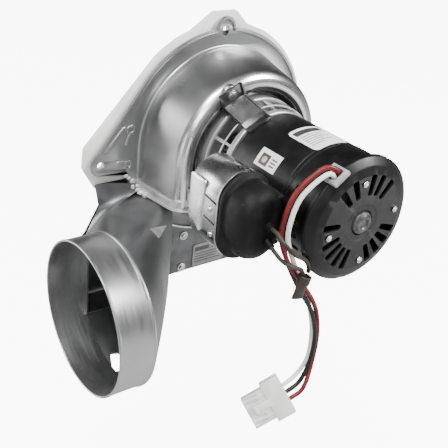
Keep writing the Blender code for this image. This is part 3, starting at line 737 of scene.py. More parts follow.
def make_splice():
    """A closed end splice: a round mouth that is crimped flat and flared at its tip."""
    place = at(*SPLICE_TOP) @ Matrix.Rotation(0.25, 4, "Y")
    rings = []
    for drop, wide, thick in (
        (0, 3.9, 3.9), (0.5, 4.2, 4.2), (5, 4.0, 3.9), (6, 3.7, 3.4), (9, 3.8, 2.4), (12, 4.4, 1.5),
        (15, 4.9, 1.2), (15.6, 4.7, 0.9),
    ):
        ring = circle(1.0, count=32)
        rings.append([(x * wide * MM, y * thick * MM, -drop * MM) for x, y in ring])
    cap = loft("splice_detail", rings, True, place)
    hole = turned("splice_mouth", [(0, 1), (3.3, 1), (3.3, -4), (0, -4)], 32, place)
    cap = cut(cap, hole)
    return shown(softened(cap, 0.2), "brown_wire", "brown_insulation", ["splice_cap"])


# ---------------------------------------------------------------- blower housing


def scroll_wall(inset):
    """The drawn wall as (radius, out), from its foot on the flange to the floor of the recess."""
    crest = [(*point, 0) for point in circle(BULGE_TUBE - inset, BULGE_R, BULGE_OUT, 15, 8, 117)]
    if inset > 0:
        foot = [(STEP_R + 0.6 - inset, FLANGE[0] - inset, 0)]
    else:
        spread = STEP_R + 3.0 - inset
        foot = [(spread, 5.2, 0), (spread, 5.78, 0), (STEP_R + 0.3 - inset, 5.78, 2.2)]
    wall = [
        *foot,
        (STEP_R + 0.2 - inset, STEP_OUT - 0.5 - inset, 1.3),
        (STEP_R - 1.9 - inset, 22.0 - inset, 40.0),
        *crest,
        (RECESS_R + inset, 41.5, 2.0),
        (RECESS_R - 1.5 + inset, RECESS_OUT + 2.5 - inset, 2.0),
        (RECESS_R - 4.0 + inset, RECESS_OUT - inset, 0),
    ]
    return rounded(wall, 0, closed=False)


def scroll_solid(name, inset):
    """The filled scroll: the round part and, at the left, the straight run down to its outlet."""
    wall = scroll_wall(inset)
    profile = [(0.0, wall[0][1]), *wall, (0.0, wall[-1][1])]
    round_part = turned(name, profile, 128)
    run = [point for point in wall if point[0] > RECESS_R - 1]
    run.append((run[-1][0], wall[0][1]))
    end = SCROLL_END - (1.0 if inset else 0.0)
    return join(round_part, plate(name + "_run", [run], end, 0.0, LEFT_SIDE, 0.0))


def low_tab_at():
    angle, radius = math.radians(LOW_TAB[0]), LOW_TAB[1]
    return radius * math.cos(angle), radius * math.sin(angle)


def flange_outline():
    """A circle with a tangent ear at the left and a tab at the top and at the low right."""
    ear_r, tab_r = 7.5, 7.6
    reach = math.hypot(*EAR)
    lean = math.degrees(math.acos((FLANGE_R - ear_r) / reach))
    ear_top = 180 + math.degrees(math.atan2(-EAR[1], -EAR[0])) - lean
    low = math.degrees(math.asin((EAR[1] - ear_r) / FLANGE_R))
    half_tab = math.degrees(math.asin(tab_r / FLANGE_R))
    angle = LOW_TAB[0]
    points = circle(FLANGE_R, count=60, start=angle - 360 + half_tab, sweep=450 - angle - 2 * half_tab)
    points += circle(tab_r, 0, TOP_EAR_Z + 2.6, 24, 0, 180)
    points += circle(FLANGE_R, count=30, start=90 + half_tab, sweep=ear_top - 90 - half_tab)
    points += circle(ear_r, *EAR, 24, ear_top, 270 - ear_top)
    points += circle(FLANGE_R, count=80, start=180 - low, sweep=angle - half_tab - 180 + low)
    points += circle(tab_r, *low_tab_at(), 24, angle - 90, 180)
    return points


def inset_outline(outline, distance):
    """An anticlockwise outline moved inwards."""
    moved = []
    count = len(outline)
    for i, point in enumerate(outline):
        before = Vector(outline[i - 1])
        after = Vector(outline[(i + 1) % count])
        along = (after - before).normalized()
        moved.append((point[0] - along.y * distance, point[1] + along.x * distance))
    return moved


def capsule(name, start, end, radius, out):
    """A low rib pressed out of a flat sheet, between two points of the front view."""
    start, end = Vector(start), Vector(end)
    length = (end - start).length
    centre = (start + end) / 2
    turn = Matrix.Rotation(math.atan2(end.y - start.y, end.x - start.x), 4, "Z")
    place = FRONT @ at(centre.x, centre.y, out) @ turn
    work = bmesh.new()
    bmesh.ops.create_uvsphere(work, u_segments=32, v_segments=16, radius=radius * MM)
    for vert in work.verts:
        vert.co.x += math.copysign(length / 2 * MM, vert.co.x) if abs(vert.co.x) > 1e-7 else 0
        vert.co.z *= 0.55
    return from_work(name, work, place)


def make_housing():
    """The scroll with its flange, ribs and leg pads."""
    outline = flange_outline()
    holes = [
        circle(STEP_R - 0.8, count=96),
        circle(2.6, *EAR, 32),
        circle(2.6, *low_tab_at(), 32),
        stadium(4.6, 7.0, 0, TOP_EAR_Z),
    ]
    pieces = [plate("housing_flange", [outline, *holes], *FLANGE, edge=0.3)]
    bead = [inset_outline(outline, 0.25), inset_outline(outline, 2.15)]
    pieces.append(plate("bead", bead, 5.4, 7.1, edge=0.75))
    ribs = (((-88.9, 0.4), (-76.6, 14.9)), ((-74.0, 4.0), (-72.0, 9.5)), ((-80.0, -9.3), (-75.5, -9.6)))
    for start, end in ribs:
        pieces.append(capsule("rib", start, end, 1.5, FLANGE[1]))
    for x, z in ((-71.3, 13.4), (-72.6, -11.9)):
        ring = rounded([(3.4, 5.6), (3.4, 6.6), (1.6, 6.6), (1.6, 5.6)], 0.4)
        pieces.append(turned("dimple", ring, 32, FRONT @ at(x, z, 0)))
    shell = scroll_solid("shell", 0.0)
    shell = cut(shell, scroll_solid("hollow", SHEET))
    shell = cut(shell, block("outlet_window", (16.0, 15.0, 18.0), at(-54.0, -16.5, -37.0)))
    shell = cut(shell, turned("shaft_hole", [(0, 20), (7.5, 20), (7.5, 50), (0, 50)], 48))
    pieces.append(shell)
    for angle in LEG_ANGLES:
        collar = rounded([(0, 48.85, 0), (5.4, 48.85), (6.6, 46.0), (0, 46.0, 0)], 0.4)
        pieces.append(turned("pad", collar, 32, spin(angle) @ at(52.4, 0, 0) @ FRONT))
    shown(gathered("blower_shell", pieces), "housing", "housing_steel", ["blower_housing"])


def make_bands():
    """Strips that paint on the light and shade of the photo's steel. The real housing has none."""
    # recess_band: painted shade on the inner flank of the crest.
    flank = [
        (52.6, 48.22), (50.5, 48.5), (47.9, 48.15), (46.2, 47.35), (44.8, 45.6), (43.4, 42.6), (42.9, 41.4),
    ]
    # crest_band: a painted highlight along the crest's shoulder.
    shoulder = circle(8.02, BULGE_R, BULGE_OUT, 7, 22, 50)
    for name, line, look_name in (("recess_band", flank, "shade"), ("crest_band", shoulder, "crest_highlight")):
        band = turned(name, rounded(strip(line, 0.3), 0.05), 144)
        run = plate("run", [strip(line, 0.3)], SCROLL_END + 0.3, 0.0, LEFT_SIDE, 0.0)
        shown(gathered(name, [band, run]), look_name, "housing_steel")
    # flange_shade: a dark strip on the flange below the scroll's outlet, painted shade.
    arc = circle(FLANGE_R - 0.4, count=24, start=226, sweep=38) + circle(62.0, count=24, start=264, sweep=-38)
    shown(plate("flange_shade", [arc], 5.75, 5.95, edge=0.05), "plain", "housing_steel")


def make_scroll_lip():
    """The pale lip round the scroll's outlet, and the sleeve beside it."""
    lip = [(x, out) for x, out in scroll_wall(0.0) if x > BULGE_R - 3]
    side_lip = [(x, out) for x, out in lip if x > BULGE_R + 4]
    sleeve = plate("sleeve", [strip(side_lip, -1.5)], SCROLL_END - 1.0, SCROLL_END + 5.5, LEFT_SIDE, 0.4)
    brim = plate("brim", [strip(lip, -3.4)], SCROLL_END - 1.4, SCROLL_END - 0.2, LEFT_SIDE, 0.4)
    shown(gathered("scroll_lip", [sleeve, brim]), "lip", "housing_steel")


def make_sealant():
    """Lumps of sealant where the scroll's outlet meets the elbow and the flange."""
    random.seed(7)
    pieces = []
    spots = [
        (-66.5, 8.5, -27.5), (-69.5, 7.5, -24.0), (-72.0, 7.0, -21.5), (-66.8, 11.0, -29.8),
        (-66.0, 14.0, -30.6), (-65.0, 17.5, -31.2), (-70.0, 9.0, -27.8), (-74.5, 6.6, -19.5),
    ]
    for x, out, z in spots:
        work = bmesh.new()
        bmesh.ops.create_icosphere(work, subdivisions=3, radius=random.uniform(1.5, 2.3) * MM)
        stretch = Vector((random.uniform(0.7, 1.3), random.uniform(0.6, 1.1), random.uniform(0.7, 1.2)))
        for vert in work.verts:
            wrinkle = 1 + 0.16 * math.sin(vert.co.x * 4200 + x) * math.sin(vert.co.z * 3900 + out)
            vert.co = Vector((vert.co.x * stretch.x, vert.co.y * stretch.y, vert.co.z * stretch.z)) * wrinkle
        pieces.append(from_work("lump", work, at(x, -out, z)))
    shown(gathered("seam_sealant", pieces), "sealant", "housing_steel", angle=math.radians(70))


def make_gasket():
    """The pale fibre sheet, wider than the flange, with its corners at the ears and the tab."""
    radius = FLANGE_R + 3.5
    low_x, low_y = low_tab_at()
    across = Vector((-low_y, low_x)).normalized() * 11
    tip = Vector((low_x, low_y)).normalized() * (LOW_TAB[1] + 10)
    points = circle(radius, count=40, start=-22, sweep=86)
    top = [
        (33.0, 73.0, 0), (20.1, radius - 2.5), (10.0, 87.5), (-9.0, 87.5), (-27.0, radius - 5.0),
        (-30.0, 74.3, 0),
    ]
    points += rounded(top, 3.0, 5, False)[1:-1]
    points += circle(radius, count=12, start=112, sweep=20)
    left = [
        (-60.0, 52.0, 0), (-104.0, 3.3), (-105.0, -10.6), (-95.4, -27.5), (-79.0, -24.5), (-74.0, -24.5, 0),
    ]
    points += rounded(left, 3.0, 5, False)[1:]
    points += circle(radius, count=60, start=198, sweep=114)
    points += [tuple(tip - across * 0.6), tuple(tip + across * 0.6)]
    holes = [
        circle(39.0, count=96),
        circle(3.2, *EAR, 24),
        circle(3.2, *low_tab_at(), 24),
        circle(3.6, 0, TOP_EAR_Z, 24),
    ]
    gasket = plate("gasket_sheet", [points, *holes], 0.0, 3.0, edge=0.5)
    shown(gasket, "gasket", "gasket_fibre", ["mounting_gasket"])


def make_back():
    """The flat plate behind the scroll, with its lower tab and the lip of the gas inlet."""
    radius = FLANGE_R - 2.0
    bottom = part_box("back_plate")[0].z / MM
    start = -math.degrees(math.acos(BACK_TAB / radius))
    stop = 180 + math.degrees(math.asin(23.0 / radius))
    outline = circle(radius, count=110, start=start, sweep=stop - start)
    side = [
        (-78.0, -23.0, 0), (-96.5, -23.0), (-93.5, -39.0), (-103.5, -57.5), (-111.5, -66.0),
        (-111.5, bottom), (BACK_TAB, bottom), (BACK_TAB, -60, 0),
    ]
    outline += rounded(side, 1.5, 4, False)[1:-1]
    back = plate("back_sheet", [outline, circle(BACK_EYE_R, count=96)], 3.3, 4.3, edge=0.25)
    eye = [
        (29.5, 4.2), (29.5, 4.5), (27.6, 5.0), (26.9, 6.6),
        (26.1, 6.6), (26.6, 4.0), (27.0, 3.4), (28.5, 3.5),
    ]
    back = join(back, turned("inlet_lip", rounded(eye, 0.3), 96))
    shown(back, "plain", "housing_steel", ["back_plate"])


# ---------------------------------------------------------------- discharge elbow


def elbow_ring(way, count=112):
    """One section of the elbow as (out, Z): a flat box at 0 and the collar's circle at 1."""
    (out_low, out_high), (z_low, z_high) = ELBOW_BOX
    out, z = (out_low + out_high) / 2, (z_low + z_high) / 2
    half_out, half_z = (out_high - out_low) / 2, (z_high - z_low) / 2
    points = []
    for i in range(count):
        turn = 2 * math.pi * i / count
        c, s = math.cos(turn), math.sin(turn)
        box_out = out + half_out * math.copysign(abs(c) ** 0.3, c)
        box_z = z + half_z * math.copysign(abs(s) ** 0.3, s)
        shoulder = -2 * c * s if c < 0 < s else 0.0
        blend = way ** (0.9 + 2.6 * shoulder)
        round_out = COLLAR_AT[0] + COLLAR_R * c
        round_z = COLLAR_AT[1] + COLLAR_R * s
        points.append((box_out + (round_out - box_out) * blend, box_z + (round_z - box_z) * blend))
    return points


def hex_screw(name, place, radius):
    """A hex head with its washer and a slot, standing on the local z axis."""
    washer = turned(name, rounded([(0, 0.9, 0), (radius, 0.55), (radius, 0), (0, 0, 0)], 0.25), 40, place)
    head = circle(radius * 0.72, count=6)
    slot = place @ Matrix.Rotation(0.6, 4, "Z") @ at(0, 0, 2.0)
    screw = join(washer, plate("hex", [head], 0.3, 2.0, place, 0.3))
    return cut(screw, block("slot", (radius * 2, 0.7, 1.0), slot))


def elbow_tab():
    """A small three-cornered tab folded flat on the elbow's front flank."""
    corners = [Vector((-84.7, 57.8, -32.9)), Vector((-66.9, 49.0, -39.3)), Vector((-81.0, 63.0, -38.0))]
    away = (corners[2] - corners[0]).cross(corners[1] - corners[0]).normalized()
    if away.y < 0:
        away = -away
    rings = []
    for lift in (-0.6, 0.9):
        lifted = [corner + away * lift for corner in corners]
        rings.append([(spot.x * MM, -spot.y * MM, spot.z * MM) for spot in lifted])
    return loft("elbow_tab", rings)


def elbow_shoulder(end_x):
    """The bulged web that closes the corner between the elbow's arch and the back plate's left edge."""
    corners = ((-96.4, 5.0, -22.2), (-93.8, 6.0, -39.0), (-103.5, 7.0, -57.5), (-110.5, 9.0, -66.5))
    edge = [Vector(corner) for corner in corners]
    bulge = Vector((-0.35, 0.55, 0.75)) * 1.6
    rows, columns, ring_corner = 24, 10, 35
    work = bmesh.new()
    lines = []
    for i in range(rows + 1):
        u = i / rows
        k = min(2, int(u * 3))
        outer = edge[k].lerp(edge[k + 1], u * 3 - k)
        way = 0.30 + 0.66 * u
        out, z = elbow_ring(way)[ring_corner]
        inner = Vector((ELBOW_X + (end_x - ELBOW_X) * way, out, z - 0.6 + 7.0 * (1 - u) ** 4))
        line = []
        for j in range(columns + 1):
            v = j / columns
            spot = outer.lerp(inner, v) + bulge * math.sin(math.pi * v) * (1 - u * 0.6)
            line.append(work.verts.new((spot.x * MM, -spot.y * MM, spot.z * MM)))
        lines.append(line)
    for a, b in zip(lines, lines[1:]):
        for j in range(columns):
            work.faces.new((a[j], b[j], b[j + 1], a[j + 1]))
    web = from_work("shoulder", work)
    wall = web.modifiers.new("wall", "SOLIDIFY")
    wall.thickness = 0.9 * MM
    wall.offset = 0
    return settled(web)


def make_elbow():
    """The elbow, its tab, the flue collar, and the strip that screws the elbow to the lower tab."""
    end_x = COLLAR_X[0] + 0.3
    rings = []
    for i in range(41):
        t = i / 40
        x = ELBOW_X + (end_x - ELBOW_X) * t
        rings.append([(x * MM, -out * MM, z * MM) for out, z in elbow_ring(t)])
    elbow = loft("elbow_shell", rings, False)
    wall = elbow.modifiers.new("wall", "SOLIDIFY")
    wall.thickness = SHEET * MM
    wall.offset = -1
    elbow = settled(elbow)
    collar_side = at(end_x - 5.0, -COLLAR_AT[0], COLLAR_AT[1])
    elbow = cut(elbow, block("collar_side", (10.0, 120.0, 120.0), collar_side))
    window = at(-85.5, 0, -84.5)
    elbow = join(elbow, block("rim", (55.4, 20.8, 49.4), window @ at(0, -16.6, 0)))
    elbow = cut(elbow, block("window", (53.0, 26.0, 47.0), window @ at(0, -17.0, 0), 1.5, 3))
    elbow = cut(elbow, scroll_solid("clearance", -0.3))
    drain = at(-108.0, -61.0, -129.0) @ Matrix.Rotation(math.radians(-22), 4, "Z")
    elbow = cut(elbow, block("drain", (6.0, 17.0, 12.0), drain, 1.0))
    elbow = gathered("elbow_shell", [elbow, elbow_shoulder(end_x)])
    shown(elbow, "elbow", "elbow_aluminium", ["outlet_elbow"])
    shown(elbow_tab(), "lip", "elbow_aluminium")
    centre = at(0, -COLLAR_AT[0], COLLAR_AT[1])
    across = centre @ Matrix.Rotation(math.radians(-90), 4, "Y")
    near, far = -COLLAR_X[0] - 0.4, -COLLAR_X[1]
    profile = rounded(
        [
            (COLLAR_R - 0.1, near), (COLLAR_R + 0.7, near + 0.6, 0.4), (COLLAR_R + 0.7, near + 1.8, 0.4),
            (COLLAR_R - 0.05, near + 2.4, 0.5), (COLLAR_R - 0.05, far - 1.8, 0.6),
            (COLLAR_R + 0.3, far - 1.0, 0.5), (COLLAR_R + 0.2, far, 0.4), (COLLAR_R - 1.2, far, 0.4),
            (COLLAR_R - 1.1, far - 1.4, 0.4), (COLLAR_R - 1.1, near, 0.2),
        ],
        0.15,
    )
    collar = turned("collar_ring", profile, 144, across)
    shown(collar, "collar", "collar_aluminium", ["outlet_collar"])
    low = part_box("elbow_flange")[0]
    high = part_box("elbow_flange")[1]
    outline = rectangle(low.x / MM, high.x / MM, low.z / MM, -66.0, 1.5)
    strip_plate = plate("strip_plate", [outline], 4.6, 5.6, edge=0.25)
    room = turned("room", [(0, -1), (FLANGE_R + 0.3, -1), (FLANGE_R + 0.3, 9), (0, 9)], 128)
    strip_plate = cut(strip_plate, room)
    shown(strip_plate, "plain", "elbow_aluminium", ["elbow_flange"])
    for i in (1, 2):
        spot = middle(f"elbow_screw_{i}")
        screw = hex_screw(f"strip_screw_{i}", at(spot.x, 0, spot.z) @ FRONT @ at(0, 0, 5.9), 3.5)
        shown(screw, "zinc", "zinc_plate", [f"elbow_screw_{i}"])


def make_foil_label():
    """A foil label with plain printed bars."""
    low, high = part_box("housing_label")
    left, right, bottom, top = low.x / MM, high.x / MM, low.z / MM, high.z / MM
    foil = plate("foil_label", [rectangle(left, right, bottom, top, 1.2)], 4.6, 4.8, edge=0.05)
    shown(foil, "foil", "label_foil", ["housing_label"])
    bars = []
    for i, (start, end, tall) in enumerate(((0.06, 0.52, 3.6), (0.58, 0.94, 1.0), (0.58, 0.86, 1.0))):
        y = top - 4.4 + (0 if i == 0 else 1.2 - 2.2 * (i - 1))
        span = right - left
        bars.append(rectangle(left + span * start, left + span * end, y - tall / 2, y + tall / 2, 0.3))
    for i in range(4):
        y = top - 8.4 - 2.4 * i
        bars.append(rectangle(left + 2, right - (3 if i % 2 else 7), y - 0.4, y + 0.4, 0.2))
    pieces = [plate("bar", [bar], 4.80, 4.84, edge=0.0) for bar in bars]
    shown(gathered("foil_print", pieces), "ink", "label_foil")


# ---------------------------------------------------------------- wheel, shaft and cooling fan


def blade_outline(inner, outer, lean, thick):
    """A blade in the front view: an arc from the inner to the outer radius that leans forwards."""
    points = []
    for i in range(9):
        t = i / 8
        radius = inner + (outer - inner) * t
        angle = math.radians(lean) * t**1.6
        points.append((radius * math.cos(angle), radius * math.sin(angle)))
    return strip(points, thick)


def make_wheel():
    near, far = outs("impeller")
    radius = radius_of("impeller")
    disc = [
        (radius, far), (radius, far - 1), (22, far - 1), (20, far - 2.0), (7.3, far - 2.0), (7.3, far - 1.0),
        (19.6, far - 1.0), (21.6, far),
    ]
    ring = rounded([(radius, near + 1.0), (radius, near), (radius - 6, near), (radius - 6, near + 1)], 0.3)
    pieces = [turned("wheel_disc", rounded(disc, 0.35), 96), turned("wheel_ring", ring, 96)]
    outline = blade_outline(30.5, radius - 0.3, 22, 0.9)
    for i in range(16):
        pieces.append(plate("blade", [outline], near + 0.9, far - 0.9, spin(22.5 * i) @ FRONT, 0.15))
    shown(gathered("impeller_wheel", pieces), "wheel", "wheel_aluminium", ["impeller"], "rotor")


def make_hub():
    """The wheel's hub with its tapped hole, and the set screw in it."""
    near, far = outs("impeller_hub")
    tapped = at(0, -20.5, 0)
    hub = turned("wheel_hub", rounded([(7.0, far), (7.0, near), (4.3, near), (4.3, far)], 0.6), 64)
    hub = cut(hub, turned("tap", [(0, 5), (1.7, 5), (1.7, 12), (0, 12)], 24, tapped))
    shown(hub, "steel", "shaft_steel", ["impeller_hub"], "rotor")
    grub = rounded([(0, 10.0, 0), (1.55, 10.0), (1.55, 7.3), (0, 7.3, 0)], 0.3)
    grub = turned("grub_screw", grub, 24, tapped)
    socket = plate("socket", [circle(0.9, count=6)], 9.0, 11.0, tapped, 0.0)
    shown(cut(grub, socket), "steel", "shaft_steel", ["hub_set_screw"], "rotor")


def make_shaft():
    near, far = outs("motor_shaft")
    bar = rounded([(0, far, 0), (4, far), (4, near), (0, near, 0)], 0.6)
    flat = block("flat", (9, 14, 2), at(0, -near - 6, 4.4))
    shown(cut(turned("shaft_bar", bar, 64), flat), "steel", "shaft_steel", ["motor_shaft"], "rotor")


def make_cooling_fan():
    near, far = outs("cooling_fan")
    radius = radius_of("cooling_fan")
    disc = [
        (radius, far), (radius, far - 1), (10, far - 1), (8, far - 3), (4.3, far - 3), (4.3, far - 1.5),
        (7, far),
    ]
    pieces = [turned("fan_disc", rounded(disc, 0.3), 96)]
    outline = blade_outline(10.5, radius - 2, 24, 0.9)
    for i in range(8):
        pieces.append(plate("fan_blade", [outline], near, far - 0.9, spin(45 * i) @ FRONT, 0.15))
    shown(gathered("fan_wheel", pieces), "wheel", "wheel_aluminium", ["cooling_fan"], "rotor")


# ---------------------------------------------------------------- motor

VENT_ANGLES = (50, 68, 84, 112, 131, 175, 201, 217, 233, 249, 292, 308, 324, 340)
NOTCH_ANGLES = (19, -8, -27, -96, 62, 200)
GROMMET_PLACE = spin(126.0) @ at(41.4, -151.0, 0)


def make_cage():
    """The bright windowed bell at the motor's front, with its bearing boss."""
    rim, face = CAGE
    profile = rounded(
        [
            (38.6, face, 1.2), (41.2, 55.6, 3.0), (41.2, rim, 0.4), (38.0, rim, 0.4), (38.0, rim + 1.1, 0.4),
            (39.8, rim + 1.3, 0.8), (39.8, 55.8, 3.0), (37.2, face - 1.5, 0.8), (9.5, face - 1.5, 1.0),
            (9.5, face - 5.3, 0.5), (8.2, face - 5.3, 0.3), (8.2, face, 0.3),
        ],
        0.4,
    )
    cage = turned("cage_bell", profile, 128)
    for i in range(12):
        window = block("window", (8.0, 14.2, 19.0), spin(15 + 30 * i) @ at(40.0, -59.5, 0), 1.0, 3)
        cage = cut(cage, window)
    hoop = turned("hoop", rounded([(40.7, 62.2), (40.7, 61.0), (39.3, 61.0), (39.3, 62.2)], 0.3), 128)
    bead = turned("bead", rounded([(41.8, 50.8), (41.8, 49.4), (41.0, 49.0), (41.0, 51.2)], 0.4), 128)
    shown(gathered("cage_bell", [cage, hoop, bead]), "cage", "zinc_plate", ["front_bell"])


def make_shell():
    near, far = SHELL
    profile = rounded(
        [
            (MOTOR_R, far, 0.3), (MOTOR_R, far - 2.2, 0.3), (MOTOR_R - 0.35, far - 2.6, 0.2),
            (MOTOR_R - 0.35, far - 3.4, 0.2), (MOTOR_R, far - 3.8, 0.3), (MOTOR_R, near + 1.2, 1.2),
            (MOTOR_R - 1.2, near, 0.6), (MOTOR_R - 3.0, near, 0.3), (MOTOR_R - 3.0, near + 1.1, 0.3),
            (MOTOR_R - SHEET, near + 2.2, 0.6), (MOTOR_R - SHEET, far, 0.3),
        ],
        0.3,
    )
    shown(turned("shell_tube", profile, 160), "paint", "black_paint", ["motor_shell"])


def make_rear_bell():
    """The black vented bell at the motor's rear, with its hub cap and bolt ends."""
    low, high = BELL
    profile = rounded(
        [
            (8.0, high - 0.2, 0.3), (11.0, high - 0.2, 0.6), (12.4, high, 0.8), (30.5, high, 3.0),
            (35.8, high - 1.6, 4.0), (40.6, high - 5.2, 1.6), (40.6, high - 8.3, 1.0),
            (38.3, high - 9.5, 1.0), (38.3, low, 0.3),
            (36.9, low, 0.2), (36.9, high - 9.2, 1.0), (34.2, high - 2.8, 3.0), (29.4, high - 1.4, 2.0),
            (8.0, high - 1.4, 0.3),
        ],
        0.4, 6,
    )
    bell = turned("rear_bell_cover", profile, 160)
    for angle in VENT_ANGLES:
        slot = rounded([(17.6, -1.7), (31.0, -2.5), (31.0, 2.5), (17.6, 1.7)], 1.4)
        bell = cut(bell, plate("vent", [slot], high - 4, high + 3, spin(angle) @ FRONT, 0.0))
    for i in range(6):
        slot = spin(150 + 14 * i) @ at(38.0, -136.0, 0)
        bell = cut(bell, block("side_vent", (6.0, 11.0, 3.6), slot, 1.2, 3))
    for angle in NOTCH_ANGLES:
        notch = spin(angle) @ at(41.2, -high + 6.6, 0)
        bell = cut(bell, block("notch", (3.0, 5.0, 5.0), notch, 0.5))
    bell = cut(bell, block("grommet_room", (8.0, 13.7, 12.7), GROMMET_PLACE @ at(1, 0, 0), 1.0, 3))
    shown(bell, "paint", "black_paint", ["rear_bell"])
    near, far = outs("rear_hub_cap")
    cap = [
        (0, far - 0.9, 0), (2.6, far - 0.9, 0.4), (3.4, far, 0.5), (5.0, far, 1.0), (7.0, far - 1.6, 1.0),
        (7.7, near, 0.3), (0, near, 0),
    ]
    shown(turned("hub_dish", rounded(cap, 0.4, 5), 80), "hub", "shaft_steel", ["rear_hub_cap"])
    for i in range(4):
        place = spin(8 + 90 * i) @ at(26.5, 0, 0) @ FRONT
        nut = plate("bolt_end", [circle(2.2, count=6)], high + 0.2, high + 1.1, place, 0.25)
        profile = [(0, high + 1.6, 0), (1.2, high + 1.6, 0.3), (1.2, high + 0.6), (0, high + 0.6, 0)]
        profile = rounded(profile, 0.1)
        stud = turned("stud", profile, 24, place)
        bolt = join(nut, stud)
        bolt.name = f"bolt_end_{i + 1}"
        shown(bolt, "steel", "zinc_plate", [f"through_bolt_{i + 1}"])


def make_grommet():
    """A square bush with a raised rim round its hole."""
    body = block("grommet_bush", (3.2, 13.0, 12.0), GROMMET_PLACE, 0.8, 3)
    body = join(body, block("rim", (4.2, 10.8, 10.4), GROMMET_PLACE, 0.6, 3))
    body = cut(body, block("hole", (9.0, 8.6, 8.4), GROMMET_PLACE, 1.4, 3))
    shown(body, "grommet", "grommet_plastic", ["lead_grommet"])


def make_legs():
    """Three sheet legs with raised edges, and their screws."""
    corners = [(56.5, 48.9, 0), (46.5, 48.9, 1.6), (40.2, 66.0, 1.6), (38.5, 70.0, 2.0), (38.5, 75.0, 0)]
    path = rounded(corners, 1.5, 5, False)
    base = strip(path, -1.4)
    wall = strip([(r, out) for r, out in path if out < 69], -3.2)
    flip = Matrix(((1, 0, 0, 0), (0, -1, 0, 0), (0, 0, -1, 0), (0, 0, 0, 1)))
    for i, angle in enumerate(LEG_ANGLES):
        place = spin(angle) @ flip
        leg = plate(f"leg_sheet_{i + 1}", [base], -9.0, 9.0, place, 0.25)
        for side in (-1, 1):
            leg = join(leg, plate("edge", [wall], side * 8.4 - 0.6, side * 8.4 + 0.6, place, 0.2))
        shown(leg, "leg", "zinc_plate", [f"motor_leg_{i + 1}"])
        foot = spin(angle) @ at(52.4, 0, 0) @ FRONT @ at(0, 0, 50.6)
        screw = hex_screw(f"foot_screw_{i + 1}", foot, 3.4)
        shown(screw, "zinc", "zinc_plate", [f"leg_screw_{i + 1}"])


# ---------------------------------------------------------------- run capacitor


def make_capacitor():
    """The oval can, cut short inside the boot, and its strap with dark bars of painted shade for the creases.
    """
    width, height = CAN_SIZE
    x, z = CAN_AT
    near, far = CAN
    far = min(far, BOOT[0] + 2.4)
    can = plate("capacitor_tin", [stadium(width - 0.2, height - 0.2, x, z)], near, far, edge=1.0)
    shown(can, "collar", "collar_aluminium", ["capacitor_can"])
    radius = width / 2 + 0.3
    reach = height / 2 - width / 2
    wrap = circle(radius, x, z + reach, 30, 60, 120) + circle(radius, x, z - reach, 40, 180, 170)
    pieces = [plate("strap_band", [strip(wrap, -1.3)], *STRAP, edge=0.3)]
    rim = strip(wrap[4:-4], -2.3)
    pieces.append(plate("strap_rim", [rim], STRAP[1] - 1.6, STRAP[1], edge=0.6))
    side = x - radius - 1.2
    # Dark bars on the strap's side: painted shade of its creases.
    crease_shade_bars = []
    for y, tall in ((9.5, 1.3), (-4.0, 1.0), (-13.5, 1.4)):
        shade_bar = at(side - 0.15, -(STRAP[1] - 8.0), z + y) @ Matrix.Rotation(0.12, 4, "X")
        crease_shade_bars.append(block("shade_bar", (0.5, 12.0, tall), shade_bar, 0.2, 3))
    shown(gathered("strap_crease_shade", crease_shade_bars), "shade", "zinc_plate")
    for y, out in ((3.5, 105.0), (-12.0, 107.5)):
        boss = rounded([(0, 1.7, 0), (1.2, 1.7, 0.5), (2.1, 0, 0.3), (0, 0, 0)], 0.3)
        turn = at(side + 0.2, -out, z + y) @ Matrix.Rotation(math.radians(-90), 4, "Y")
        pieces.append(turned("boss", boss, 32, turn))
    pieces.append(block("arm", (1.4, 42.0, 8.0), at(x + radius + 0.7, -70.0, z - 16.2), 0.5))
    pieces.append(block("foot", (12.0, 1.4, 10.0), at(x + 11.0, -49.6, z - 17.2), 0.5))
    shown(gathered("capacitor_strap", pieces), "strap", "zinc_plate", ["capacitor_bracket"])
    # The strap's side cheek is drawn much lighter than the strap: a painted reflection.
    cheek = [
        (84.6, z + 19.5, 2.0), (84.8, z - 9.5, 1.0), (88.2, z - 12.0, 1.0), (90.0, z - 11.0, 0.6),
        (96.6, z - 15.5, 0.6), (96.4, z - 4.0, 1.0), (98.4, z + 8.0, 2.0), (98.9, z + 19.0, 2.0),
    ]
    side_view = Matrix(((0, 0, -1, 0), (-1, 0, 0, 0), (0, 1, 0, 0), (0, 0, 0, 1)))
    face = -(side - 0.6)
    cheek = plate("strap_cheek", [rounded(cheek, 2.0)], face - 1.0, face + 0.4, side_view, 0.25)
    shown(cheek, "cheek", "zinc_plate")


def oval_loft(name, sections):
    """A skin through ovals: the width and height added to the can's, and the shift in x, z and out."""
    rings = []
    for wide, tall, x, z, out in sections:
        ring = stadium(CAN_SIZE[0] + wide, CAN_SIZE[1] + tall, CAN_AT[0] + x, CAN_AT[1] + z)
        rings.append([(px * MM, -(BOOT[0] + out) * MM, pz * MM) for px, pz in ring])
    return loft(name, rings)


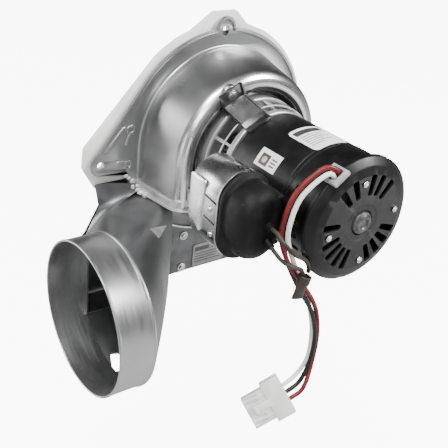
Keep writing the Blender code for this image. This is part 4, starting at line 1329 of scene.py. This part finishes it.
def make_boot():
    """The rubber boot: a mouth over the can, a waist, a full body and two lead spouts."""
    sections = [
        (3.4, 3.4, 0, 0, 0), (4.4, 4.4, 0, 0, 0.6), (4.4, 4.4, 0, 0, 2.2), (3.6, 2.8, 0, 0, 3.0),
        (2.0, -6.0, 0, 2.4, 3.7), (1.4, -8.2, 0, 3.0, 4.8), (1.6, -8.0, 0, 2.8, 6.6),
        (2.4, -5.4, 0, 1.6, 8.6),
        (2.6, -4.8, 0, 1.2, 11.0), (1.6, -6.4, -0.4, 1.2, 15.0), (-1.0, -10.0, -0.8, 1.4, 18.5),
        (-5.0, -15.0, -1.4, 1.8, 20.8), (-9.0, -20.0, -2.0, 2.0, 21.9), (-13.0, -25.0, -2.0, 2.0, 22.4),
    ]
    hollow = [
        (0.4, 0.4, 0, 0, -1.0), (0.4, 0.4, 0, 0, 1.0), (-3.0, -13.0, 0, 2.6, 2.6),
        (-5.0, -14.0, 0, 1.6, 14.0), (-14.0, -26.0, -2.0, 2.0, 20.0),
    ]
    pieces = [cut(oval_loft("boot_shell", sections), oval_loft("boot_hollow", hollow))]
    for route in CAP_LEAD_ROUTES:
        spot, following = Vector(route[0]), Vector(route[1])
        turn = (following - spot).to_track_quat("Z", "Y").to_matrix().to_4x4()
        spout = rounded([(1.5, 4.0, 0.3), (2.2, 4.0, 0.5), (3.0, -3.5, 0.5), (1.5, -3.5, 0)], 0.3)
        pieces.append(turned("spout", spout, 32, Matrix.Translation(spot) @ turn))
    for y in (16.5, -13.5):
        ridge = at(CAN_AT[0] + 1.0, -(BOOT[0] + 12.0), CAN_AT[1] + y)
        ridge = ridge @ Matrix.Rotation(math.radians(4), 4, "X")
        pieces.append(block("ridge", (CAN_SIZE[0] * 0.96, 11.0, 2.4), ridge, 1.0, 3))
    cover = gathered("boot_cover", pieces)
    shown(cover, "rubber", "black_rubber", ["capacitor_boot"], angle=math.radians(50))


# ---------------------------------------------------------------- labels on the motor


def wrapped(name, angle, width, near, far, lift, thick, corner):
    """A thin sheet with round corners, wrapped on the motor shell round an angle."""
    radius = MOTOR_R + lift
    work = bmesh.new()
    columns = []
    steps = 28
    for i in range(steps + 1):
        reach = width * (i / steps - 0.5)
        gap = corner - (width / 2 - abs(reach))
        trim = corner - math.sqrt(max(0.0, corner**2 - gap**2)) if gap > 0 else 0.0
        turn = math.radians(angle) - reach / radius
        column = []
        for r in (radius, radius + thick):
            for out in (near + trim, far - trim):
                column.append(work.verts.new((r * math.cos(turn) * MM, -out * MM, r * math.sin(turn) * MM)))
        columns.append(column)
    for a, b in zip(columns, columns[1:]):
        work.faces.new((a[0], a[1], b[1], b[0]))
        work.faces.new((a[2], a[3], b[3], b[2]))
        work.faces.new((a[0], a[2], b[2], b[0]))
        work.faces.new((a[1], a[3], b[3], b[1]))
    for column in (columns[0], columns[-1]):
        work.faces.new((column[0], column[1], column[3], column[2]))
    return from_work(name, work)


def make_labels():
    """Two blank labels with plain printed bars."""
    near, far = outs("rating_label")
    angle = 92.0
    width = MOTOR_R * math.radians(40)
    sheet = wrapped("rating_sheet", angle, width, near, far, 0.08, 0.12, 3.0)
    shown(sheet, "label", "label_white", ["rating_label"])
    prints = [wrapped("bar", angle + 1.5, width * 0.78, near + 2.6, near + 7.6, 0.2, 0.03, 0.3)]
    for i in range(6):
        short = (0.0, 5.0, 1.5, 8.0, 3.0, 11.0)[i]
        start = near + 9.8 + 2.3 * i
        turn = angle + 1.5 + math.degrees(short / 2 / MOTOR_R)
        prints.append(wrapped("bar", turn, width * 0.78 - short, start, start + 0.7, 0.2, 0.03, 0.1))
    shown(gathered("rating_print", prints), "ink", "label_white")
    near, far = outs("approval_sticker")
    sticker = wrapped("sticker_sheet", 143.0, 12.0, near, far, 0.08, 0.12, 0.4)
    shown(sticker, "label", "label_white", ["approval_sticker"])
    mark = wrapped("sticker_mark", 144.0, 7.6, near + 2.8, near + 10.4, 0.2, 0.03, 0.4)
    shown(mark, "brown_ink", "label_white")
    inner = wrapped("sticker_mark_middle", 144.0, 4.2, near + 4.5, near + 8.7, 0.23, 0.03, 2.0)
    shown(inner, "tan_ink", "label_white")
    bars = [wrapped("bar", 147.0 - 3.2 * i, 1.0, near + 12.0, far - 2.2, 0.2, 0.03, 0.2) for i in range(3)]
    shown(gathered("sticker_print", bars), "ink", "label_white")


# ---------------------------------------------------------------- CAD nodes that stay, floor and light

FLOOR_Z = -0.32
FLOOR_GLOW = 0.16
FLOOR_SEEN = 9.0  # its glow for camera rays only, so that it reads white


def dress_frame():
    """Materials for the model's own nodes that stay in view."""
    kept = {
        "stator_core": "core", "rotor_core": "core", "front_winding": "copper", "rear_winding": "copper",
        "front_bearing": "bronze", "rear_bearing": "bronze", "shaft_seal": "rubber",
        "capacitor_terminal_1": "zinc", "capacitor_terminal_2": "zinc",
    }
    for node, look_name in kept.items():
        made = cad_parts[node]
        for slot in made.material_slots:
            slot.material = LOOKS[look_name]


def make_floor():
    work = bmesh.new()
    bmesh.ops.create_grid(work, x_segments=1, y_segments=1, size=20.0)
    floor = from_work("floor", work, Matrix.Translation((0, 0, FLOOR_Z)))
    made = bpy.data.materials.new("pale_floor")
    made.use_nodes = True
    tree = made.node_tree
    shader = tree.nodes["Principled BSDF"]
    shader.inputs["Base Color"].default_value = (0.40, 0.40, 0.40, 1)
    shader.inputs["Roughness"].default_value = 0.9
    shader.inputs["Emission Color"].default_value = (1, 1, 1, 1)
    camera_ray = node(tree, "LightPath").outputs["Is Camera Ray"]
    seen = ranged(tree, camera_ray, FLOOR_GLOW, FLOOR_SEEN, 0.0, 1.0)
    tree.links.new(seen, shader.inputs["Emission Strength"])
    floor.data.materials.append(made)


def soft_light(name, place, aim, size, watts):
    data = bpy.data.lights.new(name, "AREA")
    data.shape = "RECTANGLE"
    data.size, data.size_y = size
    data.energy = watts
    made = linked(name, data)
    place, aim = Vector(place), Vector(aim)
    turn = (aim - place).to_track_quat("-Z", "Y").to_matrix().to_4x4()
    made.matrix_world = Matrix.Translation(place) @ turn


def make_lights():
    world = bpy.data.worlds.new("studio")
    bpy.context.scene.world = world
    world.use_nodes = True
    tree = world.node_tree
    towards = node(tree, "VectorMath")
    towards.operation = "DOT_PRODUCT"
    towards.inputs[1].default_value = (-0.35, -0.62, 0.70)
    tree.links.new(node(tree, "TexCoord").outputs["Generated"], towards.inputs[0])
    front = ranged(tree, towards.outputs["Value"], 0, 1, 0.0, 1.0)
    shade = blended(tree, front, (0.03, 0.03, 0.031), (0.24, 0.24, 0.245))
    tree.links.new(shade, tree.nodes["Background"].inputs["Color"])
    tree.nodes["Background"].inputs["Strength"].default_value = 1.0
    aim = (-0.02, -0.06, -0.02)
    soft_light("top", (-0.52, -0.34, 1.15), aim, (0.5, 0.3), 25)
    soft_light("front", (-0.80, -1.05, 0.75), aim, (0.4, 0.4), 9)
    soft_light("right", (0.90, -0.85, 0.95), aim, (0.4, 0.5), 44)
    soft_light("right_low", (0.44, -0.68, -0.19), aim, (0.28, 0.16), 1.0)
    soft_light("left_back", (-1.1, 1.0, 0.35), aim, (0.5, 0.7), 14)
    soft_light("left_low", (-0.62, 0.68, -0.20), aim, (0.6, 0.35), 4.5)
    soft_light("mouth", (-1.35, -0.35, 0.05), (-0.10, -0.06, -0.09), (0.6, 0.5), 2)


def main():
    make_camera()
    make_leads()
    make_housing()
    make_bands()
    make_scroll_lip()
    make_sealant()
    make_gasket()
    make_back()
    make_elbow()
    make_foil_label()
    make_wheel()
    make_hub()
    make_shaft()
    make_cooling_fan()
    make_cage()
    make_shell()
    make_rear_bell()
    make_grommet()
    make_legs()
    make_capacitor()
    make_boot()
    make_labels()
    dress_frame()
    make_floor()
    make_lights()


main()
